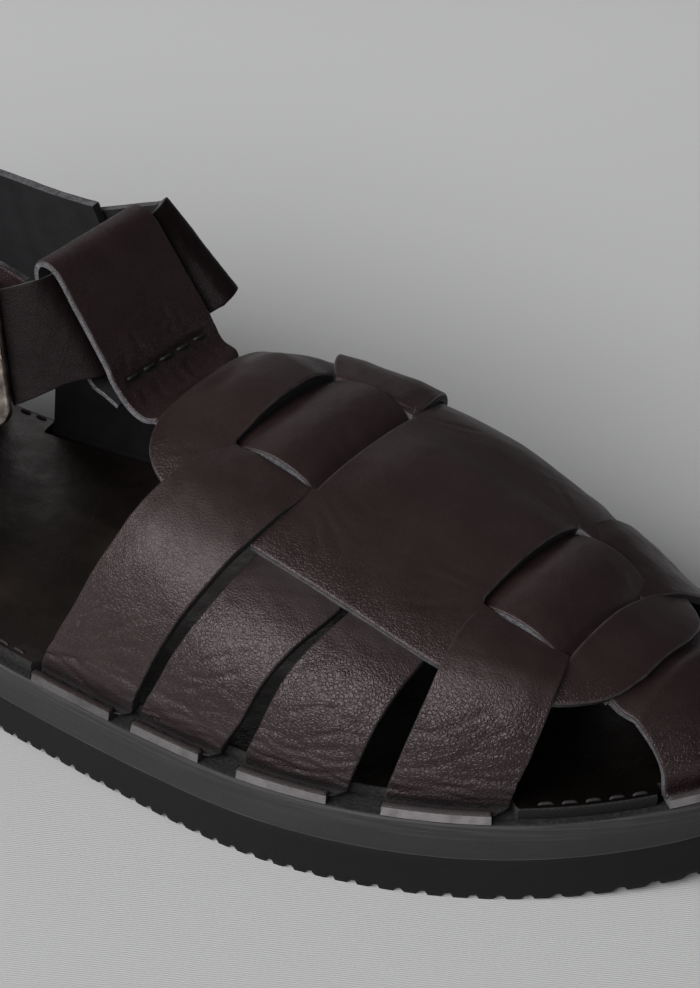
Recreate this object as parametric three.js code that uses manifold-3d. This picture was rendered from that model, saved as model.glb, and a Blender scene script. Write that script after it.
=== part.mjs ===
// Closed woven leather sandal, right shoe, standing empty and unbent.
// Millimetres. While it is modelled, x runs from the back of the heel to the toe, the outer
// (lateral) side is at -y and z is up from the ground. The last lines centre it on its own box.

import * as THREE from "three";
import { mergeVertices } from "three/addons/utils/BufferGeometryUtils.js";
import Module from "manifold-3d";

const wasm = await Module();
wasm.setup();

// Driving dimensions

const LEATHER = 2.2; // wall of the upper, straps and heel quarter
const GAP = 0.3; // play between two pieces that meet
const FACET = 0.05; // slivers flatter than this are merged into their neighbours
const FUSE = 0.15; // how far crossing straps sink into each other where they are joined

const OUTSOLE = { thickness: 9.4, archRise: 1.2, archFrom: 85, archTo: 210 };
const TREAD = { pitch: 4.2, width: 2.1, depth: 0.85, turn: -4.5, centreX: 140, flat: 0.5 };
const MIDSOLE = { thickness: 7.8 };
const TOE_SPRING = { from: 236, rise: 2.5, at: 282 };

const MIDSOLE_TOP = OUTSOLE.thickness + GAP + MIDSOLE.thickness;
const FOOT_BOTTOM = MIDSOLE_TOP + GAP;
const FOOT_TOP = FOOT_BOTTOM + LEATHER;

// Outline of the sole as arcs joined by Bezier curves
const HEEL = { x: 34, y: -1.5, radius: 34, lateralEnd: 262 };
const BALL = { x: 187, y: -54.1, radius: 108, sweep: 52.8 };
const TOE = { radius: 38, medialEnd: 82 };
const MEDIAL_BALL = { x: 203, y: 51.5 };
const WAIST = { lateralHeel: [80, -42.5], lateralBall: [140, -54.1] };
const MEDIAL_WAIST = { ballSide: [165, 51.5], heelSide: [128, 31.5], x: 78, y: 32 };

// Distances in from the edge of the sole
const FLANGE_INSET = 0.3;
const WALL_INSET = 3.4;
const FOOTBED_INSET = WALL_INSET + LEATHER + GAP + 0.2;
const FOOTBED_OPEN_INSET = 2.4;

// The last: height of the saddle plate's face over the ground and place of its ridge
const LAST = [
  { x: 100, height: 66, ridge: 1, full: 0.9 },
  { x: 140, height: 66.8, ridge: 2, full: 0.88 },
  { x: 150, height: 68.4, ridge: 2, full: 0.84 },
  { x: 158, height: 69, ridge: 2, full: 0.8 },
  { x: 168, height: 67.2, ridge: 2, full: 0.76 },
  { x: 186, height: 63.4, ridge: 2, full: 0.7 },
  { x: 205, height: 58.6, ridge: 2, full: 0.7 },
  { x: 227, height: 52.4, ridge: 2, full: 0.92 },
  { x: 246, height: 45.9, ridge: 2.5, full: 1.3 },
  { x: 262, height: 39.6, ridge: 4.5, full: 1.2 },
  { x: 271, height: 36.2, ridge: 7, full: 1 },
  { x: 284, height: 31, ridge: 11, full: 0.9 },
];
// 1 makes the cross-sections elliptic, less makes their shoulder squarer; the column above is
// for the inner side
const FULLNESS = 0.9;
const TOE_DOME = { from: 245, power: 3 };

// The saddle plate: half its width over the ridge line, and its two windows
const PLATE = [
  { x: 149, half: 18 },
  { x: 150.5, half: 23 },
  { x: 153.5, half: 27.5 },
  { x: 159, half: 31.2 },
  { x: 168, half: 33 },
  { x: 187, half: 33.8 },
  { x: 207, half: 33.6 },
  { x: 227, half: 32.2 },
  { x: 240, half: 28.4 },
  { x: 248, half: 24.4 },
  { x: 254, half: 19 },
  { x: 257, half: 14 },
  { x: 258.3, half: 8 },
];
const WINDOWS = [
  { rear: 167, front: 187 },
  { rear: 227, front: 246 },
];
const WINDOW_HALF = 18.4;

// Centre strap: its middle line, and how far its face stands over the plate's face
const CENTRE_HALF = 16.6;
const UNDER = FUSE - LEATHER;
const CENTRE = [
  { x: 144.5, y: 2, lift: -3.6 },
  { x: 149, y: 2, lift: UNDER },
  { x: 166, y: 2, lift: UNDER },
  { x: 169.5, y: 2, lift: 0.2 },
  { x: 173, y: 2, lift: 1.1 },
  { x: 177, y: 2, lift: 1.4 },
  { x: 181, y: 2, lift: 1.1 },
  { x: 184.5, y: 2, lift: 0.2 },
  { x: 188, y: 2, lift: UNDER },
  { x: 207, y: 2, lift: UNDER },
  { x: 226, y: 2, lift: UNDER },
  { x: 229.5, y: 2, lift: 0.1 },
  { x: 233, y: 2, lift: 1.1 },
  { x: 236.5, y: 2.2, lift: 1.4 },
  { x: 240, y: 2.4, lift: 1.1 },
  { x: 243.5, y: 2.6, lift: 0.1 },
  { x: 247, y: 2.8, lift: UNDER },
  { x: 256, y: 3.6, lift: UNDER },
];
const TOE_PIECE = { y: 4.6, from: 254, fractions: [0, 0.16, 0.34, 0.52, 0.7, 0.84, 0.94, 1] };

// Side straps: rear and front edge (x) at steps of the section angle, 1 at the sole and 0 at the
// ridge. The lift is that of the strap's face over the plate's face.
const SIDE_STRAPS = [
  {
    name: "a",
    rows: [
      { v: 1, rear: 142, front: 167, lift: 0 },
      { v: 0.9, rear: 146, front: 170, lift: 0 },
      { v: 0.8, rear: 150, front: 173, lift: 0.3 },
      { v: 0.7, rear: 153, front: 176, lift: 0.8 },
      { v: 0.6, rear: 156, front: 179, lift: 1.5 },
      { v: 0.5, rear: 158.3, front: 181.5, lift: 2.05 },
      { v: 0.4, rear: 160.5, front: 183.7, lift: 2.1 },
      { v: 0.3, rear: 163, front: 185.3, lift: 1.8 },
      { v: 0.22, rear: 165.6, front: 186.3, lift: 0.6 },
      { v: 0.15, rear: 167.2, front: 186.8, lift: -0.6 },
      { v: 0, rear: 167.3, front: 186.7, lift: -0.7 },
    ],
  },
  {
    name: "b",
    rows: [
      { v: 1, rear: 169.5, front: 190, lift: 0 },
      { v: 0.9, rear: 173, front: 194, lift: 0 },
      { v: 0.8, rear: 176, front: 196.3, lift: 0 },
      { v: 0.7, rear: 178.8, front: 198.6, lift: -0.2 },
      { v: 0.6, rear: 181.3, front: 201.2, lift: -0.7 },
      { v: 0.5, rear: 183, front: 203.8, lift: -1.6 },
      { v: 0.42, rear: 184.2, front: 205.2, lift: UNDER },
      { v: 0.26, rear: 185, front: 206, lift: UNDER },
    ],
  },
  {
    name: "c",
    rows: [
      { v: 1, rear: 195.5, front: 217.5, lift: 0 },
      { v: 0.9, rear: 198, front: 219.3, lift: 0 },
      { v: 0.8, rear: 199.8, front: 220.6, lift: 0 },
      { v: 0.7, rear: 201.4, front: 221.8, lift: -0.2 },
      { v: 0.6, rear: 203.4, front: 222.9, lift: -0.7 },
      { v: 0.5, rear: 205.6, front: 224, lift: -1.6 },
      { v: 0.42, rear: 207, front: 224.6, lift: UNDER },
      { v: 0.26, rear: 208, front: 225, lift: UNDER },
    ],
  },
  {
    name: "d",
    rows: [
      { v: 1, rear: 224.5, front: 246, lift: 0 },
      { v: 0.9, rear: 226, front: 247, lift: 0 },
      { v: 0.8, rear: 227, front: 248, lift: 0.3 },
      { v: 0.7, rear: 227.7, front: 248.3, lift: 0.8 },
      { v: 0.6, rear: 228, front: 248.3, lift: 1.5 },
      { v: 0.5, rear: 227.8, front: 248, lift: 2.05 },
      { v: 0.4, rear: 227.4, front: 247.4, lift: 2.1 },
      { v: 0.32, rear: 227.2, front: 246.8, lift: 1.6 },
      { v: 0.25, rear: 227.2, front: 246.3, lift: 0.4 },
      { v: 0.17, rear: 227.3, front: 246, lift: -0.6 },
      { v: 0, rear: 227.4, front: 245.8, lift: -0.7 },
    ],
  },
];
const MEDIAL_LIFT = { a: 0.5, b: 0, c: 0, d: -1 }; // added to the lift there on the inner side
const MEDIAL_SHIFT = 3; // how much further forward the straps' feet stand on the inner side

// Heel quarter: foot on the sole's edge (x), then the wall's face at the band's lower edge and at
// the topline, from the lateral flap round the heel to the medial front
const QUARTER = [
  { side: -1, foot: 108, mid: [109.8, -21.6, 60], top: [114, -14.6, 84.6] },
  { side: -1, foot: 102, mid: [104, -24.6, 58.8], top: [107.4, -17.9, 88.4] },
  { side: -1, foot: 94, mid: [95, -27.6, 57.5], top: [97, -22.9, 86.8] },
  { side: -1, foot: 81.5, mid: [83, -30.3, 56.5], top: [84, -27, 83.4] },
  { side: -1, foot: 67, mid: [67, -31.8, 56], top: [68, -29.3, 81.4] },
  { side: -1, foot: 46, mid: [46, -31.4, 56], top: [48, -28.8, 81] },
  { side: -1, foot: 24, mid: [22.5, -27.3, 56.5], top: [26, -24.4, 83] },
  { side: -1, foot: 9, mid: [7.2, -16.2, 57], top: [11, -14, 86] },
  { side: 0, foot: 0, mid: [1.7, -1.5, 57.5], top: [5.5, -1.5, 87.5] },
  { side: 1, foot: 9, mid: [7.2, 13.2, 57], top: [11, 11, 86] },
  { side: 1, foot: 24, mid: [22.5, 24.3, 56.5], top: [26, 21.8, 83] },
  { side: 1, foot: 46, mid: [46, 30, 56], top: [48, 27.6, 80.6] },
  { side: 1, foot: 67, mid: [67, 31, 55.5], top: [68, 29.2, 79.6] },
  { side: 1, foot: 83, mid: [83, 30.8, 55], top: [84, 28.4, 79.9] },
  { side: 1, foot: 98, mid: [96, 30.2, 56], top: [94, 27.9, 80.4] },
  { side: 1, foot: 114, mid: [105, 30.2, 58], top: [98, 27.7, 80.8] },
];
const QUARTER_LEAN = 1.9; // how far in its wall leans over the footbed's thickness
const QUARTER_MID = 0.6; // where the mid line lies between the foot and the topline
const SIDE_OPENING = { rear: 67, front: 81.5, medialFront: 83, top: 51, round: 6 };

// Ankle strap where it is free of quarter and buckle: its face's top and bottom edge
const ANKLE = [
  { top: [108, 30.8, 82.4], bottom: [113, 33.4, 60.4] },
  { top: [114, 29.4, 85.3], bottom: [126, 32.2, 65.4] },
  { top: [117.8, 26.4, 88.4], bottom: [135.6, 27.6, 71.6] },
  { top: [119, 22.6, 88.2], bottom: [136.4, 22.8, 70.8] },
  { top: [119, 18.9, 87.4], bottom: [133.8, 18.9, 68.4] },
  { top: [119, 11, 87.4], bottom: [133.4, 11, 68.4] },
  { top: [119, 2, 87.4], bottom: [133, 2, 68.4] },
  { top: [119, -7, 87.4], bottom: [132.5, -7, 68.4] },
  { top: [119, -14, 87.4], bottom: [132.1, -14, 68.4] },
  { top: [117.6, -17.2, 87], bottom: [128, -18.4, 67.6] },
  { top: [113.6, -20, 85.6], bottom: [122.4, -24.4, 64.6] },
];
// Its sewn end on the medial side: place along the quarter's rows and height fractions
const MEDIAL_END = [
  { row: 12.4, top: 0.86, bottom: 0.5 },
  { row: 13.2, top: 0.89, bottom: 0.53 },
  { row: 14.1, top: 0.94, bottom: 0.57 },
];

// The buckle's own frame: middle of its rear and front bar, and the way up the strap's width
const BUCKLE_AT = { rear: [95, -30.9, 68.7], front: [115.4, -26.2, 74.2], up: [-0.42, 0.17, 0.9] };
const BUCKLE = { width: 31.4, bar: 3, thick: 2.6, round: 4.5, slack: 0.3 };
// The strap's run through it: x towards the toe from the rear bar, middle up, and how far out its
// face lies at its top and bottom edge
const THROUGH = [
  { x: 21, middle: 0, top: -1.75, bottom: -1.75 },
  { x: 17, middle: 0, top: -1.5, bottom: -1.5 },
  { x: 11, middle: 0, top: 1.4, bottom: 1.4 },
  { x: 5, middle: 0, top: 4.6, bottom: 4.6 },
  { x: 0, middle: 0, top: 5.7, bottom: 5.7 },
  { x: -6, middle: 0.2, top: 5, bottom: 4.6 },
  { x: -14, middle: 1.1, top: 3.3, bottom: 2.9 },
  { x: -21, middle: 2.6, top: 2.2, bottom: -0.7 },
  { x: -28, middle: 4.6, top: 1.4, bottom: -1.7 },
  { x: -37, middle: 7.6, top: -0.8, bottom: -4 },
];
const STRAP_WIDTH = 24;
const HOLE = { from: 2.3, to: 13.8, half: 1.7 };
const PRONG = { width: 2.4, wall: 1.3, tip: 2.2 };
const CHAPE = { width: 11, wall: 1.4, tail: 15, slot: 3.8 };
const KEEPER = {
  x: -24.5, middle: 3.6, face: 0.3, turn: -15, tilt: -7, lean: 9.5, width: 9, wall: 1.6,
};
const TIP = { x: -33.5, middle: 6.4, turn: -19 };

// Loop of the centre strap round the ankle strap. Its face is placed from the ankle strap's face:
// along the strap's width in shares (0 at the top edge, 1 at the bottom edge) and out from it
const BEHIND = -(LEATHER + GAP + LEATHER) - 0.4;
const BEFORE = GAP + LEATHER + 0.35;
const LOOP = [
  { along: 1.33, out: -1.1 },
  { along: 1.2, out: -2.9 },
  { along: 1.09, out: BEHIND + 0.5 },
  { along: 0.97, out: BEHIND },
  { along: 0.65, out: BEHIND },
  { along: 0.3, out: BEHIND },
  { along: 0.04, out: BEHIND },
  { along: -0.07, out: -4.1 },
  { along: -0.135, out: -2.6 },
  { along: -0.155, out: -1.1 },
  { along: -0.135, out: 0.4 },
  { along: -0.07, out: 1.95 },
  { along: 0.04, out: BEFORE },
  { along: 0.35, out: BEFORE },
  { along: 0.7, out: BEFORE },
  { along: 0.98, out: BEFORE - 0.1 },
  { along: 1.09, out: BEFORE - 0.5 },
];
const NECK = [
  { x: 139.2, lateral: 63.6, medial: 64.9 },
  { x: 142.8, lateral: 62.2, medial: 63.6 },
];
const LOOP_LATERAL = -13.6;
const LOOP_MEDIAL = 17.6;
const LOOP_TOP = [119, 87.4];
const LOOP_BOTTOM = { lateral: 132.1, medial: 133.8, height: 68.4 };

const PALETTE = {
  leather: { color: 0x2a2122, roughness: 0.52, metalness: 0 },
  suede: { color: 0x1d1b1e, roughness: 0.9, metalness: 0 },
  footbed: { color: 0x2d2725, roughness: 0.45, metalness: 0 },
  midsole: { color: 0x3a3938, roughness: 0.8, metalness: 0 },
  rubber: { color: 0x232221, roughness: 0.75, metalness: 0 },
  metal: { color: 0x6a6056, roughness: 0.35, metalness: 1 },
};

// Small helpers

const radians = THREE.MathUtils.degToRad;

// A smooth curve through the rows of a table: the value of one column at x.
function smooth(table, column, x) {
  const last = table.length - 1;
  const at = THREE.MathUtils.clamp(x, table[0].x, table[last].x);
  let i = 0;
  while (i < last - 1 && table[i + 1].x < at) i += 1;
  const slope = (k) => {
    const a = table[Math.max(k - 1, 0)];
    const b = table[Math.min(k + 1, last)];
    return (b[column] - a[column]) / (b.x - a.x);
  };
  const from = table[i];
  const to = table[i + 1];
  const span = to.x - from.x;
  const t = (at - from.x) / span;
  const t2 = t * t;
  const t3 = t2 * t;
  return (
    (2 * t3 - 3 * t2 + 1) * from[column] +
    (t3 - 2 * t2 + t) * span * slope(i) +
    (3 * t2 - 2 * t3) * to[column] +
    (t3 - t2) * span * slope(i + 1)
  );
}

// How far the toe is bent up off the ground at x.
function spring(x) {
  const reach = Math.max(0, (x - TOE_SPRING.from) / (TOE_SPRING.at - TOE_SPRING.from));
  return TOE_SPRING.rise * reach * reach;
}

// How far the tread is lifted off the ground at x, by the arch and the toe spring.
function treadHeight(x) {
  const t = THREE.MathUtils.clamp(
    (x - OUTSOLE.archFrom) / (OUTSOLE.archTo - OUTSOLE.archFrom), 0, 1);
  return OUTSOLE.archRise * Math.sin(Math.PI * t) ** 2 + spring(x);
}

// The solid bounded by a closed geometry.
function solid(geometry) {
  const bare = geometry.clone();
  bare.deleteAttribute("normal");
  bare.deleteAttribute("uv");
  const merged = mergeVertices(bare, 1e-4);
  return new wasm.Manifold(
    new wasm.Mesh({
      numProp: 3,
      vertProperties: new Float32Array(merged.attributes.position.array),
      triVerts: new Uint32Array(merged.index.array),
    }),
  );
}

function geometryOf(manifold) {
  const mesh = manifold.getMesh();
  const geometry = new THREE.BufferGeometry();
  geometry.setAttribute("position", new THREE.BufferAttribute(mesh.vertProperties, 3));
  geometry.setIndex(new THREE.BufferAttribute(mesh.triVerts, 1));
  return geometry;
}

const joined = (parts) => parts.reduce((sum, part) => sum.add(part));

// The same solid without the pockets that are sealed in between straps joined to each other.
const filled = (part) => joined(part.decompose().filter((shell) => shell.volume() > 0));

// A closed geometry from rings of points, each ring a closed section with the same point count.
function loft(rings) {
  const count = rings[0].length;
  const positions = rings.flat().flatMap((p) => [p.x, p.y, p.z]);
  const index = [];
  for (let i = 0; i + 1 < rings.length; i += 1) {
    for (let j = 0; j < count; j += 1) {
      const a = i * count + j;
      const b = i * count + ((j + 1) % count);
      index.push(a, b, b + count, a, b + count, a + count);
    }
  }
  const end = (rings.length - 1) * count;
  const half = count / 2;
  for (let j = 0; j + 1 < half; j += 1) {
    const mate = count - 1 - j;
    index.push(j, mate, mate - 1, j, mate - 1, j + 1);
    index.push(end + j, end + mate - 1, end + mate, end + j, end + j + 1, end + mate - 1);
  }
  const geometry = new THREE.BufferGeometry();
  geometry.setAttribute("position", new THREE.Float32BufferAttribute(positions, 3));
  geometry.setIndex(index);
  return geometry;
}

// The face's normal at each point of a grid, from its neighbours along both directions.
function gridNormals(rows) {
  return rows.map((row, i) =>
    row.map((_, j) => {
      const before = rows[Math.max(i - 1, 0)][j];
      const after = rows[Math.min(i + 1, rows.length - 1)][j];
      const left = row[Math.max(j - 1, 0)];
      const right = row[Math.min(j + 1, row.length - 1)];
      const along = after.clone().sub(before);
      const across = right.clone().sub(left);
      return along.cross(across).normalize();
    }),
  );
}

// A leather wall: a grid of points on its outer face, and its inner face one thickness behind it.
// The outer face looks to the side of (along the rows) x (across a row).
function wall(rows, thickness = LEATHER) {
  const normals = gridNormals(rows);
  const rings = rows.map((row, i) => {
    const inner = row.map((p, j) => p.clone().addScaledVector(normals[i][j], -thickness));
    return [...inner, ...row.slice().reverse()];
  });
  return solid(loft(rings));
}

// The sole's outline and what is measured in from it

function soleEdge() {
  const path = new THREE.Path();
  const heelEnd = radians(HEEL.lateralEnd);
  const ballCentre = { x: BALL.x, y: BALL.y + BALL.radius };
  const sweep = radians(BALL.sweep);
  const toeShift = BALL.radius - TOE.radius;
  const toeCentre = {
    x: ballCentre.x + toeShift * Math.sin(sweep),
    y: ballCentre.y - toeShift * Math.cos(sweep),
  };
  const toeEnd = radians(TOE.medialEnd);
  path.moveTo(HEEL.x + HEEL.radius * Math.cos(heelEnd), HEEL.y + HEEL.radius * Math.sin(heelEnd));
  path.bezierCurveTo(...WAIST.lateralHeel, ...WAIST.lateralBall, BALL.x, BALL.y);
  path.absarc(ballCentre.x, ballCentre.y, BALL.radius, -Math.PI / 2, sweep - Math.PI / 2, false);
  path.absarc(toeCentre.x, toeCentre.y, TOE.radius, sweep - Math.PI / 2, toeEnd, false);
  path.bezierCurveTo(
    MEDIAL_BALL.x + 30, MEDIAL_BALL.y - 0.3, MEDIAL_BALL.x + 15, MEDIAL_BALL.y,
    MEDIAL_BALL.x, MEDIAL_BALL.y);
  path.bezierCurveTo(
    ...MEDIAL_WAIST.ballSide, ...MEDIAL_WAIST.heelSide, MEDIAL_WAIST.x, MEDIAL_WAIST.y);
  path.absarc(HEEL.x, HEEL.y, HEEL.radius, Math.PI / 2, heelEnd, false);
  return path;
}

const EDGE_POINTS = 720;
const EDGE = soleEdge().getSpacedPoints(EDGE_POINTS).slice(0, EDGE_POINTS);
const insets = new Map();

// The outline moved in by a distance, as a closed list of points.
function insetEdge(distance) {
  if (!insets.has(distance)) {
    const moved = EDGE.map((p, i) => {
      const before = EDGE[(i + EDGE_POINTS - 2) % EDGE_POINTS];
      const after = EDGE[(i + 2) % EDGE_POINTS];
      const along = after.clone().sub(before).normalize();
      return new THREE.Vector2(p.x - along.y * distance, p.y + along.x * distance);
    });
    insets.set(distance, moved);
  }
  return insets.get(distance);
}

// Where the moved outline crosses x: its lateral and its medial y.
function edgeAt(x, distance) {
  const points = insetEdge(distance);
  let lateral = Infinity;
  let medial = -Infinity;
  points.forEach((p, i) => {
    const q = points[(i + 1) % points.length];
    if (p.x === q.x || (x - p.x) * (x - q.x) > 0) return;
    const y = p.y + ((q.y - p.y) * (x - p.x)) / (q.x - p.x);
    lateral = Math.min(lateral, y);
    medial = Math.max(medial, y);
  });
  return { lateral, medial };
}

// The first and last x of the moved outline.
function reach(distance) {
  const xs = insetEdge(distance).map((p) => p.x);
  return { back: Math.min(...xs), front: Math.max(...xs) };
}

// The x at which the moved outline crosses y at the toe.
function toeAt(y, distance) {
  const points = insetEdge(distance);
  let front = -Infinity;
  points.forEach((p, i) => {
    const q = points[(i + 1) % points.length];
    if (p.y === q.y || (y - p.y) * (y - q.y) > 0) return;
    front = Math.max(front, p.x + ((q.x - p.x) * (y - p.y)) / (q.y - p.y));
  });
  return front;
}

// The last

const lastRim = reach(WALL_INSET);

// Height of the ridge over the footbed's level at x.
function ridgeRise(x) {
  const base = FOOT_TOP + spring(x);
  const u = THREE.MathUtils.clamp((x - TOE_DOME.from) / (lastRim.front - TOE_DOME.from), 0, 1);
  return (smooth(LAST, "height", x) - base) * Math.sqrt(1 - u ** TOE_DOME.power);
}

// A point of the last: v is -1 at the lateral rim, 0 on the ridge and 1 at the medial rim.
function lastPoint(x, v) {
  const rim = edgeAt(x, WALL_INSET);
  const ridge = smooth(LAST, "ridge", x);
  const half = v < 0 ? ridge - rim.lateral : rim.medial - ridge;
  const full = v < 0 ? FULLNESS : smooth(LAST, "full", x);
  const angle = (Math.abs(v) * Math.PI) / 2;
  const y = ridge + Math.sign(v) * half * Math.sin(angle) ** full;
  const z = FOOT_TOP + spring(x) + ridgeRise(x) * Math.abs(Math.cos(angle)) ** full;
  return new THREE.Vector3(x, y, z);
}

// The last's height at a place seen from above.
function lastOver(x, y) {
  const rim = edgeAt(x, WALL_INSET);
  const ridge = smooth(LAST, "ridge", x);
  const half = y < ridge ? ridge - rim.lateral : rim.medial - ridge;
  const full = y < ridge ? FULLNESS : smooth(LAST, "full", x);
  const share = half > 0 ? Math.min(1, Math.abs(y - ridge) / half) : 1;
  const sine = share ** (1 / full);
  const rise = ridgeRise(x) * Math.sqrt(1 - sine * sine) ** full;
  return new THREE.Vector3(x, y, FOOT_TOP + spring(x) + rise);
}

// Outward normal of a surface function at a point, by small steps.
function normalOf(surface, a, b, step = 0.02) {
  const along = surface(a + step, b).sub(surface(a - step, b));
  const across = surface(a, b + step).sub(surface(a, b - step));
  return along.cross(across).normalize();
}

// Soles

// A layer of the sole between two heights, cut in strips across it.
function layer(insetAt, bottomAt, topAt, steps) {
  const ends = reach(insetAt(0, 0));
  const stations = Array.from({ length: steps + 1 }, (_, i) => {
    const t = (1 - Math.cos((Math.PI * i) / steps)) / 2;
    const even = i / steps;
    const mix = 0.45 * t + 0.55 * even;
    return ends.back + (ends.front - ends.back) * mix;
  });
  const rings = stations.map((x, i) => {
    const tip = i === 0 || i === steps;
    const at = tip ? x + (i === 0 ? 0.05 : -0.05) : x;
    const lateral = edgeAt(at, insetAt(at, -1)).lateral;
    const medial = edgeAt(at, insetAt(at, 1)).medial;
    return [
      new THREE.Vector3(at, lateral, bottomAt(at)),
      new THREE.Vector3(at, medial, bottomAt(at)),
      new THREE.Vector3(at, medial, topAt(at)),
      new THREE.Vector3(at, lateral, topAt(at)),
    ];
  });
  return solid(loft(rings));
}

// The cutter for the tread's cross grooves: a comb with a round tooth for each groove.
function treadComb() {
  const shape = new THREE.Shape();
  const count = Math.ceil(160 / TREAD.pitch);
  const turn = radians(TREAD.turn);
  shape.moveTo(-count * TREAD.pitch - 5, -6);
  for (let k = -count; k <= count; k += 1) {
    const u = k * TREAD.pitch;
    const base = treadHeight(TREAD.centreX + u * Math.cos(turn));
    const half = TREAD.width / 2;
    shape.lineTo(u - half, base - TREAD.flat);
    shape.lineTo(u - half * 0.55, base + TREAD.depth);
    shape.lineTo(u + half * 0.55, base + TREAD.depth);
    shape.lineTo(u + half, base - TREAD.flat);
  }
  shape.lineTo(count * TREAD.pitch + 5, -6);
  const comb = new THREE.ExtrudeGeometry(shape, { depth: 160, bevelEnabled: false });
  comb.translate(0, 0, -80);
  comb.rotateX(Math.PI / 2);
  comb.rotateZ(turn);
  comb.translate(TREAD.centreX, 0, 0);
  return solid(comb);
}

function outsole() {
  const top = (x) => OUTSOLE.thickness + spring(x);
  return layer(() => 0, treadHeight, top, 52).subtract(treadComb());
}

function midsole() {
  const bottom = (x) => OUTSOLE.thickness + GAP + spring(x);
  const top = (x) => MIDSOLE_TOP + spring(x);
  return layer(() => 0, bottom, top, 52);
}

// The insole, out to its stitched rim, and cut back where a strap or the quarter comes down.
function footbed() {
  const bottom = (x) => FOOT_BOTTOM + spring(x);
  const top = (x) => FOOT_TOP + spring(x);
  const board = layer(() => FOOTBED_OPEN_INSET, bottom, top, 56);
  const slots = footPlaces().map(({ feet, lean }) =>
    edgeBand(feet, [-2, FOOTBED_INSET + lean], [FOOT_BOTTOM - 2, FOOT_TOP + 2], 2));
  return board.subtract(joined(slots));
}

// Upper

// The place of x on the lateral (-1) or medial (1) side of the moved outline, as a count of its
// points.
function place(x, side, inset) {
  const miss = (p) => Math.abs(p.x - x) + (Math.sign(p.y - HEEL.y) === side ? 0 : 1000);
  return nearest(miss, inset);
}

// The place of y at the toe.
function toePlace(y, inset) {
  return nearest((p) => Math.abs(p.y - y) + (p.x > 240 ? 0 : 1000), inset);
}

function nearest(miss, inset) {
  const misses = insetEdge(inset).map(miss);
  return misses.indexOf(Math.min(...misses));
}

// A stretch of the sole's edge between two places, at the flange's rim and at the wall's foot.
function stretch(from, to) {
  return [FLANGE_INSET, WALL_INSET].map((inset) => [from(inset), to(inset)]);
}

// A band along a stretch of the sole's edge, between two insets and two heights.
function edgeBand(feet, insets, heights, spare = 0) {
  const [outer, inner] = feet.map(([from, to], k) => {
    const count = (((to - from) % EDGE_POINTS) + EDGE_POINTS) % EDGE_POINTS + 2 * spare;
    const start = from - spare + EDGE_POINTS;
    const points = insetEdge(insets[k]);
    return (share) => points[Math.round(start + count * share) % EDGE_POINTS];
  });
  const steps = Math.max(2, Math.round(insetLength(feet[0]) / 5));
  const [low, high] = heights;
  const at = (p, z) => new THREE.Vector3(p.x, p.y, z + spring(p.x));
  const rings = Array.from({ length: steps + 1 }, (_, i) => {
    const [out, back] = [outer(i / steps), inner(i / steps)];
    return [at(out, low), at(back, low), at(back, high), at(out, high)];
  });
  return solid(loft(rings));
}

const insetLength = ([from, to]) => (to - from + EDGE_POINTS) % EDGE_POINTS;

// The turned-out foot of a strap on the midsole.
function flange(feet) {
  return edgeBand(feet, [FLANGE_INSET, WALL_INSET + LEATHER * 0.7], [FOOT_BOTTOM, FOOT_TOP]);
}

// The face of a side strap at a row of its table, from edge to edge.
function strapRow(row, side, across, extra) {
  const shift = side > 0 ? MEDIAL_SHIFT * THREE.MathUtils.smoothstep(row.v, 0.3, 1) : 0;
  const bump = side > 0 ? extra * Math.max(0, Math.sin(Math.PI * (row.v - 0.1) / 0.7)) : 0;
  const points = Array.from({ length: across + 1 }, (_, j) => {
    const x = THREE.MathUtils.lerp(row.rear, row.front, j / across) + shift;
    const normal = normalOf(lastPoint, x, side * Math.max(row.v, 0.02));
    return lastPoint(x, side * row.v).addScaledVector(normal, row.lift + bump);
  });
  return side < 0 ? points.reverse() : points;
}

// The stretch of the sole's edge on which a side strap stands.
function strapFoot(strap, side) {
  const { rear, front } = strap.rows[0];
  if (side < 0) return stretch((d) => place(rear, -1, d), (d) => place(front, -1, d));
  const shifted = [front, rear].map((x) => (inset) => place(x + MEDIAL_SHIFT, 1, inset));
  return stretch(...shifted);
}

function sideStrap(strap, side) {
  const rows = strap.rows.map((row) => strapRow(row, side, 3, MEDIAL_LIFT[strap.name]));
  const sunk = rows[0].map((p) => p.clone().setZ(FOOT_BOTTOM + spring(p.x)));
  return wall([sunk, ...rows]).add(flange(strapFoot(strap, side)));
}

// The saddle plate: an oval over the instep with two windows across it.
function saddle() {
  const xs = [149, 149.6, 151, 153.5, 157, 162, 167.3, 174, 181, 188, 195, 202, 209, 216, 223, 230,
    238, 246.3, 250, 253.5, 256, 257.6, 258.3];
  const across = 10;
  const rows = xs.map((x) => {
    const half = smooth(PLATE, "half", x);
    const ridge = smooth(LAST, "ridge", x);
    return Array.from({ length: across + 1 }, (_, j) => {
      return lastOver(x, ridge + half * ((2 * j) / across - 1));
    });
  });
  const windows = WINDOWS.map(({ rear, front }) => {
    const box = new THREE.BoxGeometry(front - rear, 2 * WINDOW_HALF, 80);
    box.translate((rear + front) / 2, smooth(LAST, "ridge", rear), 50);
    return solid(box);
  });
  return wall(rows).subtract(joined(windows));
}

// The centre strap over the instep: under the plate, over the side straps in its windows.
function centreStrap() {
  const across = 6;
  const xs = CENTRE.map((row) => row.x);
  const rows = xs.map((x) => {
    const middle = smooth(CENTRE, "y", x);
    const lift = smooth(CENTRE, "lift", x);
    return Array.from({ length: across + 1 }, (_, j) => {
      const y = middle + CENTRE_HALF * ((2 * j) / across - 1);
      return lastOver(x, y).addScaledVector(normalOf(lastOver, x, y), lift);
    });
  });
  return wall(rows);
}

const TOE_FOOT = stretch(
  (inset) => toePlace(TOE_PIECE.y - CENTRE_HALF, inset),
  (inset) => toePlace(TOE_PIECE.y + CENTRE_HALF, inset));

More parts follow.
